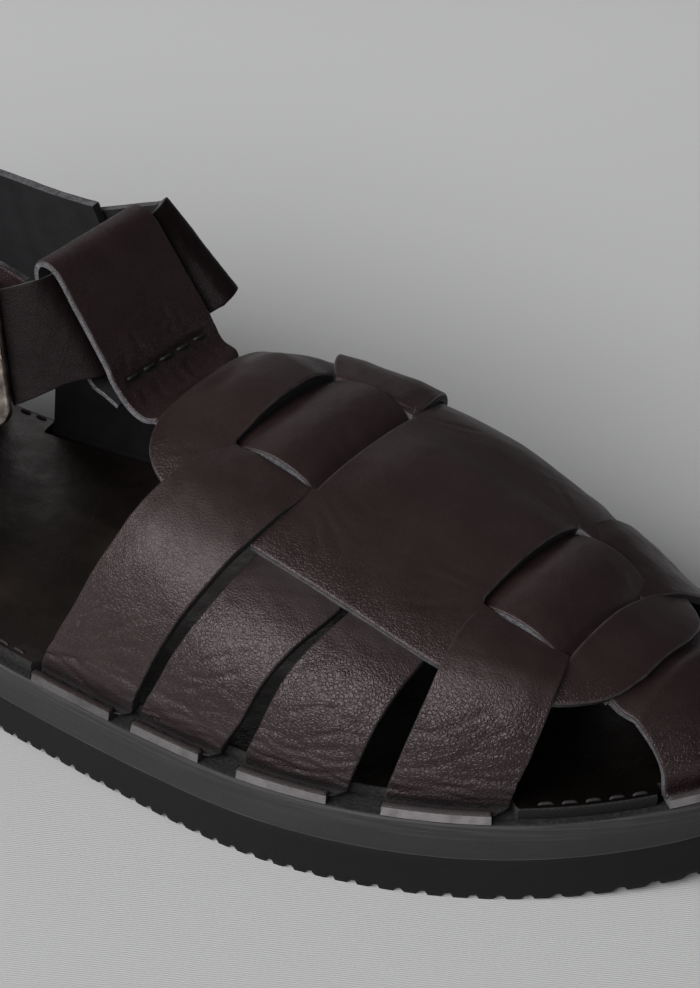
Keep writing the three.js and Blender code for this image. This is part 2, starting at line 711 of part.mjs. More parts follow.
// Its toe end, from under the front band down to the toe's rim.
function toePiece() {
  const across = 8;
  const rows = TOE_PIECE.fractions.map((f) =>
    Array.from({ length: across + 1 }, (_, j) => {
      const y = TOE_PIECE.y + CENTRE_HALF * ((2 * j) / across - 1);
      const rim = toeAt(y, WALL_INSET);
      const x = THREE.MathUtils.lerp(TOE_PIECE.from, rim, f);
      const point = f === 1 ? new THREE.Vector3(x, y, FOOT_TOP + spring(x)) : lastOver(x, y);
      const sink = UNDER * THREE.MathUtils.smoothstep(262 - x, 0, 5);
      point.z += sink;
      return point;
    }),
  );
  const last = rows[rows.length - 1];
  const foot = last.map((p) => p.clone().setZ(FOOT_BOTTOM + spring(p.x)));
  return wall([...rows, foot]).add(flange(TOE_FOOT));
}

// A point beside the ankle strap's face: across the shoe (0 lateral to 1 medial), along its width
// and out from it.
function besideAnkle(share, along, out) {
  const y = THREE.MathUtils.lerp(LOOP_LATERAL, LOOP_MEDIAL, share);
  const foot = THREE.MathUtils.lerp(LOOP_BOTTOM.lateral, LOOP_BOTTOM.medial, share);
  const top = new THREE.Vector3(LOOP_TOP[0], y, LOOP_TOP[1]);
  const down = new THREE.Vector3(foot, y, LOOP_BOTTOM.height).sub(top);
  const outward = new THREE.Vector3(-down.z, 0, down.x).normalize();
  return top.addScaledVector(down, along).addScaledVector(outward, out);
}

// The loop: up behind the ankle strap, over it, down its front and on into the neck.
function loop() {
  const across = 4;
  const row = (place) => Array.from({ length: across + 1 }, (_, j) => {
    const share = j / across;
    return place(share, THREE.MathUtils.lerp(LOOP_LATERAL, LOOP_MEDIAL, share));
  });
  const round = LOOP.map(({ along, out }) => row((share) => besideAnkle(share, along, out)));
  const neck = NECK.map(({ x, lateral, medial }) =>
    row((share, y) => new THREE.Vector3(x, y, THREE.MathUtils.lerp(lateral, medial, share))));
  const under = CENTRE.slice(0, 3).map(({ x, lift }) =>
    row((_, y) => lastOver(x, y).addScaledVector(normalOf(lastOver, x, y), lift)));
  return wall([...round, ...neck, ...under]);
}

// The stretches of the sole's edge on which the quarter stands.
function quarterFeet() {
  const { rear, front, medialFront } = SIDE_OPENING;
  const lateralEnd = QUARTER[0].foot;
  const medialEnd = QUARTER[QUARTER.length - 1].foot;
  return [
    stretch((d) => place(rear, 1, d), (d) => place(rear, -1, d)),
    stretch((d) => place(front, -1, d), (d) => place(lateralEnd, -1, d)),
    stretch((d) => place(medialEnd, 1, d), (d) => place(medialFront, 1, d)),
  ];
}

// Every stretch on which the upper or the quarter stands, and how far its wall leans in there.
function footPlaces() {
  const straps = SIDE_STRAPS.flatMap((strap) => [strapFoot(strap, -1), strapFoot(strap, 1)]);
  return [
    ...[TOE_FOOT, ...straps].map((feet) => ({ feet, lean: 0 })),
    ...quarterFeet().map((feet) => ({ feet, lean: QUARTER_LEAN })),
  ];
}

function upper() {
  const straps = SIDE_STRAPS.flatMap((strap) => [sideStrap(strap, -1), sideStrap(strap, 1)]);
  return filled(joined([saddle(), centreStrap(), toePiece(), loop(), ...straps]));
}

// Heel quarter

const quarterCurves = (() => {
  const feet = QUARTER.map(({ side, foot }) => {
    const ends = reach(WALL_INSET);
    const x = side === 0 ? ends.back : Math.max(foot, ends.back + 0.2);
    const rim = edgeAt(x + (side === 0 ? 0.05 : 0), WALL_INSET);
    const y = side === 0 ? HEEL.y : side < 0 ? rim.lateral : rim.medial;
    return new THREE.Vector3(x, y, FOOT_BOTTOM);
  });
  const through = (points) => new THREE.CatmullRomCurve3(points, false, "centripetal");
  return {
    foot: through(feet),
    mid: through(QUARTER.map((row) => new THREE.Vector3(...row.mid))),
    top: through(QUARTER.map((row) => new THREE.Vector3(...row.top))),
  };
})();

// A point of the quarter's face: row runs along its table, h from the foot to the topline.
function quarterPoint(row, h) {
  const u = THREE.MathUtils.clamp(row / (QUARTER.length - 1), 0, 1);
  const foot = quarterCurves.foot.getPoint(u);
  const mid = quarterCurves.mid.getPoint(u);
  const top = quarterCurves.top.getPoint(u);
  const m = QUARTER_MID;
  const point = foot.multiplyScalar(((h - m) * (h - 1)) / m);
  point.addScaledVector(mid, (h * (1 - h)) / (m * (1 - m)));
  return point.addScaledVector(top, (h * (h - m)) / (1 - m));
}

const quarterNormal = (row, h) => normalOf((a, b) => quarterPoint(a, b), row, h).negate();

function quarterWall() {
  const heights = [0, 0.12, 0.25, 0.4, 0.55, 0.7, 0.85, 1];
  const rows = Array.from({ length: 46 }, (_, i) => (i * (QUARTER.length - 1)) / 45);
  const grid = rows.map((row) => heights.map((h) => quarterPoint(row, h)).reverse());
  return wall(grid);
}

// The opening between the heel cup and the leg on one side.
function sideOpening(side, front) {
  const { rear, top, round } = SIDE_OPENING;
  const shape = new THREE.Shape();
  shape.moveTo(rear, 10);
  shape.lineTo(front, 10);
  shape.lineTo(front, top - round);
  shape.absarc(front - round, top - round, round, 0, Math.PI / 2, false);
  shape.absarc(rear + round, top - round, round, Math.PI / 2, Math.PI, false);
  const prism = new THREE.ExtrudeGeometry(shape, {
    depth: 80, bevelEnabled: false, curveSegments: 5,
  });
  prism.rotateX(Math.PI / 2);
  prism.translate(0, side < 0 ? 0 : 80, 0);
  return solid(prism);
}

function heelQuarter() {
  const { front, medialFront } = SIDE_OPENING;
  const openings = sideOpening(-1, front).add(sideOpening(1, medialFront));
  const walls = quarterWall().subtract(openings).trimByPlane([0, 0, 1], FOOT_BOTTOM);
  return joined([walls, ...quarterFeet().map((feet) => flange(feet))]);
}

// Buckle's own frame: from its rear bar x to the toe, y up the strap's width, z out of the shoe

const buckleFrameMatrix = (() => {
  const rear = new THREE.Vector3(...BUCKLE_AT.rear);
  const x = new THREE.Vector3(...BUCKLE_AT.front).sub(rear).normalize();
  const z = x.clone().cross(new THREE.Vector3(...BUCKLE_AT.up)).normalize();
  return new THREE.Matrix4().makeBasis(x, z.clone().cross(x), z).setPosition(rear);
})();
const BAR_SPAN = new THREE.Vector3(...BUCKLE_AT.front).distanceTo(
  new THREE.Vector3(...BUCKLE_AT.rear));

// Turns a shape drawn in (x, out) into one whose extrusion runs across the strap's width.
const EDGEWISE = new THREE.Matrix4().makeRotationX(Math.PI / 2);
// Turns a shape drawn in (up, out) into one whose extrusion runs along the strap.
const ENDWISE = new THREE.Matrix4().set(0, 0, 1, 0, 1, 0, 0, 0, 0, 1, 0, 0, 0, 0, 0, 1);

function polygon(points, Kind = THREE.Shape) {
  return new Kind(points.map(([x, y]) => new THREE.Vector2(x, y)));
}

function roundedRectangle(width, height, radius, Kind = THREE.Shape) {
  const shape = new Kind();
  const x = width / 2;
  const y = height / 2;
  const quarter = Math.PI / 2;
  shape.moveTo(-x + radius, -y);
  shape.absarc(x - radius, -y + radius, radius, -quarter, 0, false);
  shape.absarc(x - radius, y - radius, radius, 0, quarter, false);
  shape.absarc(-x + radius, y - radius, radius, quarter, 2 * quarter, false);
  shape.absarc(-x + radius, -y + radius, radius, 2 * quarter, 3 * quarter, false);
  return shape;
}

// Extrudes a shape by a depth centred on its plane, and puts it in the buckle's frame.
function inBuckle(shape, depth, turn = new THREE.Matrix4(), options = {}) {
  const geometry = new THREE.ExtrudeGeometry(shape, {
    depth, bevelEnabled: false, curveSegments: 4, ...options,
  });
  geometry.translate(0, 0, -depth / 2);
  return solid(geometry.applyMatrix4(turn).applyMatrix4(buckleFrameMatrix));
}

function buckleFrame() {
  const { width, bar, thick, round } = BUCKLE;
  const length = BAR_SPAN + bar;
  const ring = roundedRectangle(length - 1, width - 1, round);
  ring.holes.push(
    roundedRectangle(length + 1 - 2 * bar, width + 1 - 2 * bar, round - 2.4, THREE.Path));
  const bevel = { bevelEnabled: true, bevelThickness: 0.7, bevelSize: 0.5, bevelSegments: 1 };
  const shift = new THREE.Matrix4().makeTranslation(BAR_SPAN / 2, 0, 0);
  return inBuckle(ring, thick - 1.4, shift, bevel);
}

// The prong: a ring round the rear bar and an arm that rests on the front bar.
function buckleProng() {
  const { bar, thick, slack } = BUCKLE;
  const { width, wall: rim, tip } = PRONG;
  const x = bar / 2 + slack;
  const z = thick / 2 + slack;
  const end = BAR_SPAN + tip;
  const side = polygon([
    [-x - rim, 0.3 - z], [0.3 - x, -z - rim], [x - 0.3, -z - rim], [x + rim, 0.3 - z],
    [x + rim, z - 0.3], [end - 1, z + 0.05], [end, z + 0.4], [end, z + rim - 0.4],
    [end - 1.2, z + rim], [0.3 - x, z + rim], [-x - rim, z - 0.4],
  ]);
  side.holes.push(polygon([[-x, -z], [-x, z], [x, z], [x, -z]], THREE.Path));
  return inBuckle(side, width, EDGEWISE);
}

// The chape: a strip folded round the rear bar, with a slot for the prong.
function buckleChape() {
  const { bar, thick, slack } = BUCKLE;
  const { width, wall: skin, tail, slot } = CHAPE;
  const x = bar / 2 + slack;
  const z = thick / 2 + slack;
  const side = polygon([
    [-tail, -z - skin], [x, -z - skin], [x + skin, -z], [x + skin, z], [x, z + skin],
    [-x, z + skin], [-x - 4, -z + skin + 0.6], [-tail, -z + skin],
  ]);
  side.holes.push(polygon([[-x - 0.6, -z], [-x - 0.6, z * 0.5], [-x, z], [x, z], [x, -z]],
    THREE.Path));
  const cut = polygon([[-x - 1.9, -9], [9, -9], [9, 9], [-x - 1.9, 9]]);
  return inBuckle(side, width, EDGEWISE).subtract(inBuckle(cut, slot, EDGEWISE));
}

// The keeper: a ring of leather round the strap's tail.
function strapKeeper() {
  const { x, middle, turn, width, wall: skin, face } = KEEPER;
  const room = 0.65;
  const high = LEATHER + 2 * room;
  const ring = roundedRectangle(STRAP_WIDTH + 2 * (room + skin), high + 2 * skin, 1.4);
  ring.holes.push(roundedRectangle(STRAP_WIDTH + 2 * room, high, 0.4, THREE.Path));
  const place = new THREE.Matrix4().makeTranslation(x, middle, face - LEATHER / 2);
  place.multiply(new THREE.Matrix4().makeRotationZ(radians(turn)));
  place.multiply(new THREE.Matrix4().makeRotationY(radians(KEEPER.tilt)));
  place.multiply(new THREE.Matrix4().makeRotationX(radians(KEEPER.lean)));
  return inBuckle(ring, width, place.multiply(ENDWISE));
}

// Ankle strap

// A point of the strap's face where it lies over the quarter.
function overQuarter({ row, top, bottom }, share) {
  const h = THREE.MathUtils.lerp(top, bottom, share);
  return quarterPoint(row, h).addScaledVector(quarterNormal(row, h), LEATHER + GAP + 0.25);
}

// The strap's stations: for each, a function from 0 at its top edge to 1 at its bottom edge.
function ankleStations() {
  const medial = MEDIAL_END.map((end) => (share) => overQuarter(end, share));
  const free = ANKLE.map(({ top, bottom }) => (share) =>
    new THREE.Vector3(...top).lerp(new THREE.Vector3(...bottom), share));
  const through = THROUGH.map(({ x, middle, top, bottom }) => (share) => {
    const y = middle + STRAP_WIDTH * (0.5 - share);
    const face = THREE.MathUtils.lerp(top, bottom, share);
    return new THREE.Vector3(x, y, face).applyMatrix4(buckleFrameMatrix);
  });
  return [...medial, ...free, ...through];
}

// What is cut away beyond the strap's rounded tip.
function beyondTip() {
  const half = STRAP_WIDTH / 2 + 1;
  const shape = polygon([
    [4, -half], [1, -half * 0.75], [-1.6, -half * 0.5], [-3, -half * 0.2], [-3, half * 0.2],
    [-1.6, half * 0.5], [1, half * 0.75], [4, half], [4, half + 9], [-20, half + 9],
    [-20, -half - 9], [4, -half - 9],
  ]);
  const turn = radians(TIP.turn);
  const centre = new THREE.Vector2(0, 0);
  const points = shape.getPoints().map((p) => p.rotateAround(centre, turn));
  return new THREE.Shape(points.map((p) => p.add(new THREE.Vector2(TIP.x, TIP.middle))));
}

function ankleStrap() {
  const stations = ankleStations();
  const curves = [0, 1 / 3, 2 / 3, 1].map(
    (share) => new THREE.CatmullRomCurve3(stations.map((at) => at(share)), false, "centripetal"));
  const steps = (stations.length - 1) * 2;
  const rows = Array.from({ length: steps + 1 }, (_, i) =>
    curves.map((curve) => curve.getPoint(i / steps)));
  const { from, to, half } = HOLE;
  const hole = polygon([[from, -half], [to, -half], [to, half], [from, half]]);
  return wall(rows).subtract(inBuckle(hole, 30)).subtract(inBuckle(beyondTip(), 30));
}

const MESHES = [
  { name: "outsole", build: outsole, finish: "rubber" },
  { name: "midsole", build: midsole, finish: "midsole" },
  { name: "footbed", build: footbed, finish: "footbed" },
  { name: "upper", build: upper, finish: "leather" },
  { name: "heel_quarter", build: heelQuarter, finish: "leather" },
  { name: "ankle_strap", build: ankleStrap, finish: "leather" },
  { name: "buckle_frame", build: buckleFrame, finish: "metal" },
  { name: "buckle_prong", build: buckleProng, finish: "metal" },
  { name: "buckle_chape", build: buckleChape, finish: "leather" },
  { name: "strap_keeper", build: strapKeeper, finish: "leather" },
];

const sandal = new THREE.Group();
for (const { name, build, finish } of MESHES) {
  const geometry = geometryOf(build().simplify(FACET));
  const mesh = new THREE.Mesh(geometry, new THREE.MeshStandardMaterial(PALETTE[finish]));
  mesh.name = name;
  sandal.add(mesh);
}
const box = new THREE.Box3().setFromObject(sandal);
sandal.position.set(-(box.min.x + box.max.x) / 2, -(box.min.y + box.max.y) / 2, -box.min.z);

export default sandal;
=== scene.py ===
"""Dressed model of a closed woven leather sandal, right shoe, standing empty and unbent.

Sizes are millimetres of the shoe's own frame: x from the back of the heel to the toe, the outer
side at -y, z up from the ground. metres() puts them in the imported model's frame.
"""

from __future__ import annotations

import logging
import math
from dataclasses import dataclass
from enum import Enum
from typing import Callable, Sequence

import bpy
import numpy as np
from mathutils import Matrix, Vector

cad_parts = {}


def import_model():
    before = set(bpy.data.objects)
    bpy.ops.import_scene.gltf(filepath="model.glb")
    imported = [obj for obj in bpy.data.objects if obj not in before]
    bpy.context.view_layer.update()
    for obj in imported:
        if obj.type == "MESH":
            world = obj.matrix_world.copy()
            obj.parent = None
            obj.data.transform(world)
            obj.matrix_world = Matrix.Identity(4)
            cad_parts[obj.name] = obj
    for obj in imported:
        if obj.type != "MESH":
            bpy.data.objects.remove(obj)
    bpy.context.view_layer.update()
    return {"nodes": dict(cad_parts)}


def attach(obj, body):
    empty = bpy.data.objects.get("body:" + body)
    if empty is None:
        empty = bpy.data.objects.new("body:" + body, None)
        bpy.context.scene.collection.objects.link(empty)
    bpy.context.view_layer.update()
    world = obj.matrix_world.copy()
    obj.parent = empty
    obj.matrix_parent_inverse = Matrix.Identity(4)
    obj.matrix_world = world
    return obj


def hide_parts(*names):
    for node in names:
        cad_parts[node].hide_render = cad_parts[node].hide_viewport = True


log = logging.getLogger("sandal")
Array = np.ndarray
Colour = tuple[float, float, float]
Place = tuple[float, float, float]
Piece = bpy.types.Object
Finish = bpy.types.Material
Socket = bpy.types.NodeSocket

# Sizes that the solids share. An underside lies UNDER the plate's face where one sheet of leather
# goes below another, sunk into it by FUSE.

LEATHER = 2.2
FUSE = 0.15
UNDER = FUSE - LEATHER
GAP = 0.3
MIDSOLE_BOTTOM = 9.4
MIDSOLE_TOP = 17.5
FOOT_BOTTOM = 17.8
FOOT_TOP = 20.0
BOX_CENTRE = np.array([140.35, -1.3, 0.0])

# Ways in from the sole's edge: the straps' outer face, and the footbed's rim on open stretches
# and behind a strap

WALL_INSET = 3.4
FOOTBED_OPEN_INSET = 2.4
FOOTBED_INSET = 6.1

# The sole's outline: arcs with their centre or start, radius and last angle in degrees, and the
# inner side's points

HEEL_CENTRE, HEEL_RADIUS, HEEL_END = (34.0, -1.5), 34.0, 262.0
BALL_START, BALL_RADIUS, BALL_SWEEP = (187.0, -54.1), 108.0, 52.8
TOE_RADIUS, TOE_END = 38.0, 82.0
INNER_BALL, INNER_WAIST, INNER_HEEL = (203.0, 51.5), (78.0, 32.0), (34.0, 32.5)

# The toe's rise off the ground: where it starts, over what length, and how much

SPRING_FROM, SPRING_REACH, SPRING_RISE = 236.0, 46.0, 2.5

# Other fixed places: where the toe's dome starts, and the step that finds a surface's normal

DOME_FROM = 245.0
SMALL_STEP = 0.02


def metres(points: Array) -> Array:
    """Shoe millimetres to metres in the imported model's frame."""
    return (np.asarray(points, float) - BOX_CENTRE) / 1000.0


def columns(text: str) -> Array:
    """The columns of a short table of numbers that has one row on each line."""
    return np.array([[float(n) for n in row.split()] for row in text.strip().splitlines()]).T


def smooth(xs: Array, ys: Array, at: Array) -> Array:
    """A smooth curve through table rows.

    Formula: a cubic Hermite between rows, whose slope at a row is that of the chord between its
    two neighbours.
    Args: xs, rising row places. ys, row values. at, where to read.
    Returns: the values.
    """
    xs, ys, at = np.asarray(xs, float), np.asarray(ys, float), np.asarray(at, float)
    at = np.clip(at, xs[0], xs[-1])
    last = len(xs) - 1
    i = np.clip(np.searchsorted(xs, at, side="right") - 1, 0, last - 1)
    row = np.arange(last + 1)
    before, after = np.maximum(row - 1, 0), np.minimum(row + 1, last)
    slope = (ys[after] - ys[before]) / (xs[after] - xs[before])
    span = xs[i + 1] - xs[i]
    t = (at - xs[i]) / span
    return (
        (2 * t**3 - 3 * t**2 + 1) * ys[i] + (t**3 - 2 * t**2 + t) * span * slope[i]
        + (3 * t**2 - 2 * t**3) * ys[i + 1] + (t**3 - t**2) * span * slope[i + 1]
    )


def ramp(x: Array, low: float, high: float) -> Array:
    """Smooth step from 0 at low to 1 at high."""
    t = np.clip((np.asarray(x, float) - low) / (high - low), 0, 1)
    return t * t * (3 - 2 * t)


def spring(x: Array) -> Array:
    """Rise of the toe off the ground: grows with the square of the way past SPRING_FROM."""
    return SPRING_RISE * np.maximum(0, (np.asarray(x, float) - SPRING_FROM) / SPRING_REACH) ** 2


def through(points: Array, at: Array) -> Array:
    """Points on a centripetal Catmull-Rom curve.

    Formula: between two knots a cubic Hermite, whose tangents come from the knots around it,
    weighed by the square root of their distances.
    Args: points, knots as (k, ..., 3). at, places from 0 to k - 1.
    Returns: points as (len(at), ..., 3).
    """
    knots = np.concatenate([2 * points[:1] - points[1:2], points, 2 * points[-1:] - points[-2:-1]])
    i = np.clip(np.floor(at).astype(int), 0, len(points) - 2)
    p0, p1, p2, p3 = (knots[i + k] for k in range(4))
    d0, d1, d2 = (np.maximum(np.sqrt(np.linalg.norm(b - a, axis=-1, keepdims=True)), 1e-4)
                  for a, b in ((p0, p1), (p1, p2), (p2, p3)))
    m1 = ((p1 - p0) / d0 - (p2 - p0) / (d0 + d1) + (p2 - p1) / d1) * d1
    m2 = ((p2 - p1) / d1 - (p3 - p1) / (d1 + d2) + (p3 - p2) / d2) * d1
    t = (at - i).reshape((-1,) + (1,) * (points.ndim - 1))
    return (
        (2 * t**3 - 3 * t**2 + 1) * p1 + (t**3 - 2 * t**2 + t) * m1
        + (3 * t**2 - 2 * t**3) * p2 + (t**3 - t**2) * m2
    )


def unit(v: Array) -> Array:
    """Vectors scaled to length 1."""
    return v / np.maximum(np.linalg.norm(v, axis=-1, keepdims=True), 1e-12)


def between(rows: Array, at: Array) -> Array:
    """Points of a fine grid at fractional rows, in a straight line between two of its points.

    Args: rows, the grid as (k, m, 3). at, row numbers as (n, m), or (n, 1) for all its columns.
    Returns: the points as (n, m, 3).
    """
    low = np.floor(at).astype(int).clip(0, len(rows) - 2)
    t = (at - low)[..., None]
    column = np.arange(rows.shape[1])[None]
    return rows[low, column] * (1 - t) + rows[low + 1, column] * t


def at_normal(surface: Callable[[Array, Array], Array], a: Array, b: Array,
              lift: Array) -> Array:
    """Points off a surface, out along its normal.

    Formula: the normal is the cross product of two small steps on the surface.
    Args: surface, a function of two parameters. a and b, the parameters. lift, the way out.
    Returns: the points.
    """
    along = surface(a + SMALL_STEP, b) - surface(a - SMALL_STEP, b)
    across = surface(a, b + SMALL_STEP) - surface(a, b - SMALL_STEP)
    return surface(a, b) + unit(np.cross(along, across)) * np.asarray(lift)[..., None]


def ripple(points: Array, wave: float, seed: int) -> Array:
    """Soft irregular swell between about -1 and 1.

    Formula: the mean of seven sines of seeded directions and lengths near wave.
    Args: points, where to read. wave, the usual length in mm. seed, which swell.
    Returns: the swell at each point.
    """
    rng = np.random.default_rng(seed)
    way = unit(rng.normal(size=(7, 3))) * (2 * math.pi / (wave * rng.uniform(0.6, 1.5, (7, 1))))
    return np.sin(points @ way.T + rng.uniform(0, 6.28, 7)).sum(-1) / 3.2


def edged(width: float, step: float) -> Array:
    """Shares from 0 to 1 over a width in mm, closer together at both edges."""
    rim = np.array([0, 0.07, 0.2, 0.4, 0.65, 1.0, 1.5])
    inner = np.linspace(rim[-1], width - rim[-1], max(3, int((width - 3) / step)))[1:-1]
    return np.concatenate([rim, inner, width - rim[::-1]]) / width


# Sole outline and last


class SoleOutline:
    """The edge of the sole: arcs for heel, ball and toe, joined by Bezier curves."""

    toe_from = 225.0

    def __init__(self, count: int = 1440) -> None:
        """Works the outline out as count evenly spaced points, counter-clockwise from above."""
        sweep = math.radians(BALL_SWEEP)
        ball = np.array([BALL_START[0], BALL_START[1] + BALL_RADIUS])
        toe = ball + (BALL_RADIUS - TOE_RADIUS) * np.array([math.sin(sweep), -math.cos(sweep)])
        heel_end, toe_end = math.radians(HEEL_END), math.radians(TOE_END)
        heel_last = np.array(HEEL_CENTRE) + HEEL_RADIUS * np.array(
            [math.cos(heel_end), math.sin(heel_end)])
        toe_last = toe + TOE_RADIUS * np.array([math.cos(toe_end), math.sin(toe_end)])
        path = np.concatenate([
            self._bezier(heel_last, (80, -42.5), (140, -54.1), BALL_START),
            self._arc(ball, BALL_RADIUS, -90, BALL_SWEEP - 90),
            self._arc(toe, TOE_RADIUS, BALL_SWEEP - 90, TOE_END),
            self._bezier(toe_last, (233, 51.2), (218, 51.5), INNER_BALL),
            self._bezier(INNER_BALL, (165, 51.5), (128, 31.5), INNER_WAIST),
            self._bezier(INNER_WAIST, (60, 32.2), (48, 32.5), INNER_HEEL),
            self._arc(HEEL_CENTRE, HEEL_RADIUS, 90, HEEL_END),
        ])
        length = np.concatenate([[0], np.cumsum(np.linalg.norm(np.diff(path, axis=0), axis=1))])
        at = np.linspace(0, length[-1], count + 1)[:-1]
        edge = np.stack([np.interp(at, length, path[:, k]) for k in (0, 1)], 1)
        edge = np.roll(edge, -int(np.argmin(edge[:, 0])), axis=0)
        along = unit(np.roll(edge, -4, axis=0) - np.roll(edge, 4, axis=0))
        self.count, self.around = count, float(length[-1])
        self.edge = edge
        self.inward = np.stack([-along[:, 1], along[:, 0]], 1)

    @staticmethod
    def _bezier(a: Sequence[float], b: Sequence[float], c: Sequence[float],
                d: Sequence[float]) -> Array:
        """Cubic Bezier: the four points weighed by the Bernstein polynomials."""
        t = np.linspace(0, 1, 400)[:, None]
        a, b, c, d = (np.asarray(p, float) for p in (a, b, c, d))
        return (1 - t)**3 * a + 3 * (1 - t)**2 * t * b + 3 * (1 - t) * t**2 * c + t**3 * d

    @staticmethod
    def _arc(centre: Sequence[float], radius: float, start: float, end: float) -> Array:
        """Circle's arc between two angles in degrees."""
        t = np.radians(np.linspace(start, end, 400))
        return np.asarray(centre, float) + radius * np.stack([np.cos(t), np.sin(t)], 1)

    def inset(self, distance: float | Array) -> Array:
        """The outline moved inwards by a distance in mm, one for all points or one each."""
        return self.edge + self.inward * np.reshape(distance, (-1, 1))

    def sides(self, x: Array, distance: float) -> tuple[Array, Array]:
        """y of the moved outline on the outer and on the inner side.

        Args: x, where to read. distance, the way in from the edge in mm.
        """
        points = self.inset(distance)
        back, front = int(np.argmin(points[:, 0])), int(np.argmax(points[:, 0]))
        points = np.roll(points, -back, axis=0)
        front = (front - back) % self.count
        outer, inner = points[: front + 1], np.concatenate([points[front:], points[:1]])[::-1]
        return np.interp(x, outer[:, 0], outer[:, 1]), np.interp(x, inner[:, 0], inner[:, 1])

    def toe(self, y: Array, distance: float) -> Array:
        """x of the moved outline at y, at the toe."""
        points = self.inset(distance)
        tip = points[points[:, 0] > self.toe_from]
        tip = tip[np.argsort(tip[:, 1])]
        return np.interp(y, tip[:, 1], tip[:, 0])

    def inward_at(self, points: Array, distance: float) -> Array:
        """The inward direction of the outline next to points on its copy moved in by distance."""
        flat = points.reshape(-1, points.shape[-1])[:, :2]
        near = self.inset(distance)
        index = np.argmin(((flat[:, None] - near[None]) ** 2).sum(-1), axis=1)
        return self.inward[index].reshape(points.shape[:-1] + (2,))


OUTLINE = SoleOutline()

#: The last's sections: x, height over the ground, y of the ridge, and the inner side's fullness
LAST_ROWS = columns("""
    100  66    1    0.9
    140  66.8  2    0.88
    150  68.4  2    0.84
    158  69    2    0.8
    168  67.2  2    0.76
    186  63.4  2    0.7
    205  58.6  2    0.7
    227  52.4  2    0.92
    246  45.9  2.5  1.3
    262  39.6  4.5  1.2
    271  36.2  7    1
    284  31    11   0.9
""")
#: The outer side's fullness: 1 is an ellipse, less is squarer
OUTER_FULL = 0.9


class Last:
    """The foot form inside the straps, as functions of the shoe's length and side."""

    def __init__(self, outline: SoleOutline) -> None:
        """Keeps the outline that the form stands on."""
        self.outline = outline
        self.front = float(outline.inset(WALL_INSET)[:, 0].max())

    def _read(self, column: int, x: Array) -> Array:
        """A column of the last's table at x."""
        return smooth(LAST_ROWS[0], LAST_ROWS[column], x)

    def ridge(self, x: Array) -> Array:
        """y of the top line of the last at x."""
        return self._read(2, x)

    def rise(self, x: Array) -> Array:
        """Height over the footbed: the table's, closed at the toe by a cubic dome."""
        u = np.clip((x - DOME_FROM) / (self.front - DOME_FROM), 0, 1)
        return (self._read(1, x) - FOOT_TOP - spring(x)) * np.sqrt(1 - u**3)

    def _section(self, x: Array, outwards: Array) -> tuple[Array, Array, Array]:
        """Ridge, half width and fullness of the section at x, outwards or on the inner side."""
        outer, inner = self.outline.sides(x, WALL_INSET)
        ridge = self.ridge(x)
        half = np.where(outwards, ridge - outer, inner - ridge)
        return ridge, half, np.where(outwards, OUTER_FULL, self._read(3, x))

    def point(self, x: Array, v: Array) -> Array:
        """A point at x and side v: -1 outer rim, 0 ridge, 1 inner rim.

        Formula: y goes out from the ridge with the sine of the section angle and z falls with its
        cosine, both raised to the table's fullness.
        """
        x, v = np.broadcast_arrays(np.asarray(x, float), np.asarray(v, float))
        ridge, half, full = self._section(x, v < 0)
        angle = np.abs(v) * math.pi / 2
        y = ridge + np.sign(v) * half * np.sin(angle) ** full
        z = FOOT_TOP + spring(x) + self.rise(x) * np.abs(np.cos(angle)) ** full
        return np.stack([x, y, z], -1)

    def over(self, x: Array, y: Array) -> Array:
        """The last's point above a place on the plan: point() with v worked out from y."""
        x, y = np.broadcast_arrays(np.asarray(x, float), np.asarray(y, float))
        ridge, half, full = self._section(x, y < self.ridge(x))
        sine = np.minimum(1, np.abs(y - ridge) / np.maximum(half, 1e-3)) ** (1 / full)
        z = FOOT_TOP + spring(x) + self.rise(x) * np.sqrt(np.maximum(0, 1 - sine**2)) ** full
        return np.stack([x, y, z], -1)


LAST = Last(OUTLINE)


# Meshes


class Side(Enum):
    """The shoe's outer and inner side."""

    OUTER = -1
    INNER = 1


def new_object(name: str, points: Array, faces: list[list[int]], looks: Sequence[int],
               materials: Sequence[Finish],
               values: dict[str, Array] | None = None, angle: float = 40) -> Piece:
    """A mesh object at the origin.

    Args: name. points in shoe mm. faces, lists of point numbers. looks, each face's material
        number. materials, in that order. values, a number for each point under an attribute's
        name. angle in degrees, over which an edge is sharp.
    Returns: the object.
    """
    mesh = bpy.data.meshes.new(name)
    mesh.from_pydata(metres(points), [], faces)
    mesh.polygons.foreach_set("material_index", np.asarray(looks, dtype=np.int32))
    mesh.polygons.foreach_set("use_smooth", np.ones(len(faces), dtype=bool))
    for key, value in (values or {}).items():
        layer = mesh.attributes.new(key, "FLOAT", "POINT")
        layer.data.foreach_set("value", np.asarray(value, dtype=np.float32).ravel())
    for material in materials:
        mesh.materials.append(material)
    mesh.update()
    mesh.set_sharp_from_angle(angle=math.radians(angle))
    piece = bpy.data.objects.new(name, mesh)
    bpy.context.scene.collection.objects.link(piece)
    return piece


def grid_normals(face: Array) -> Array:
    """Unit normals of a grid: the cross product of its steps along and across."""
    return unit(np.cross(np.gradient(face, axis=0), np.gradient(face, axis=1)))


def lengths(grid: Array, axis: int) -> Array:
    """Length of the way along an axis of a grid, from its first line to each point."""
    steps = np.linalg.norm(np.diff(grid, axis=axis), axis=-1)
    start = np.zeros_like(np.take(steps, [0], axis=axis))
    return np.concatenate([start, np.cumsum(steps, axis=axis)], axis=axis)


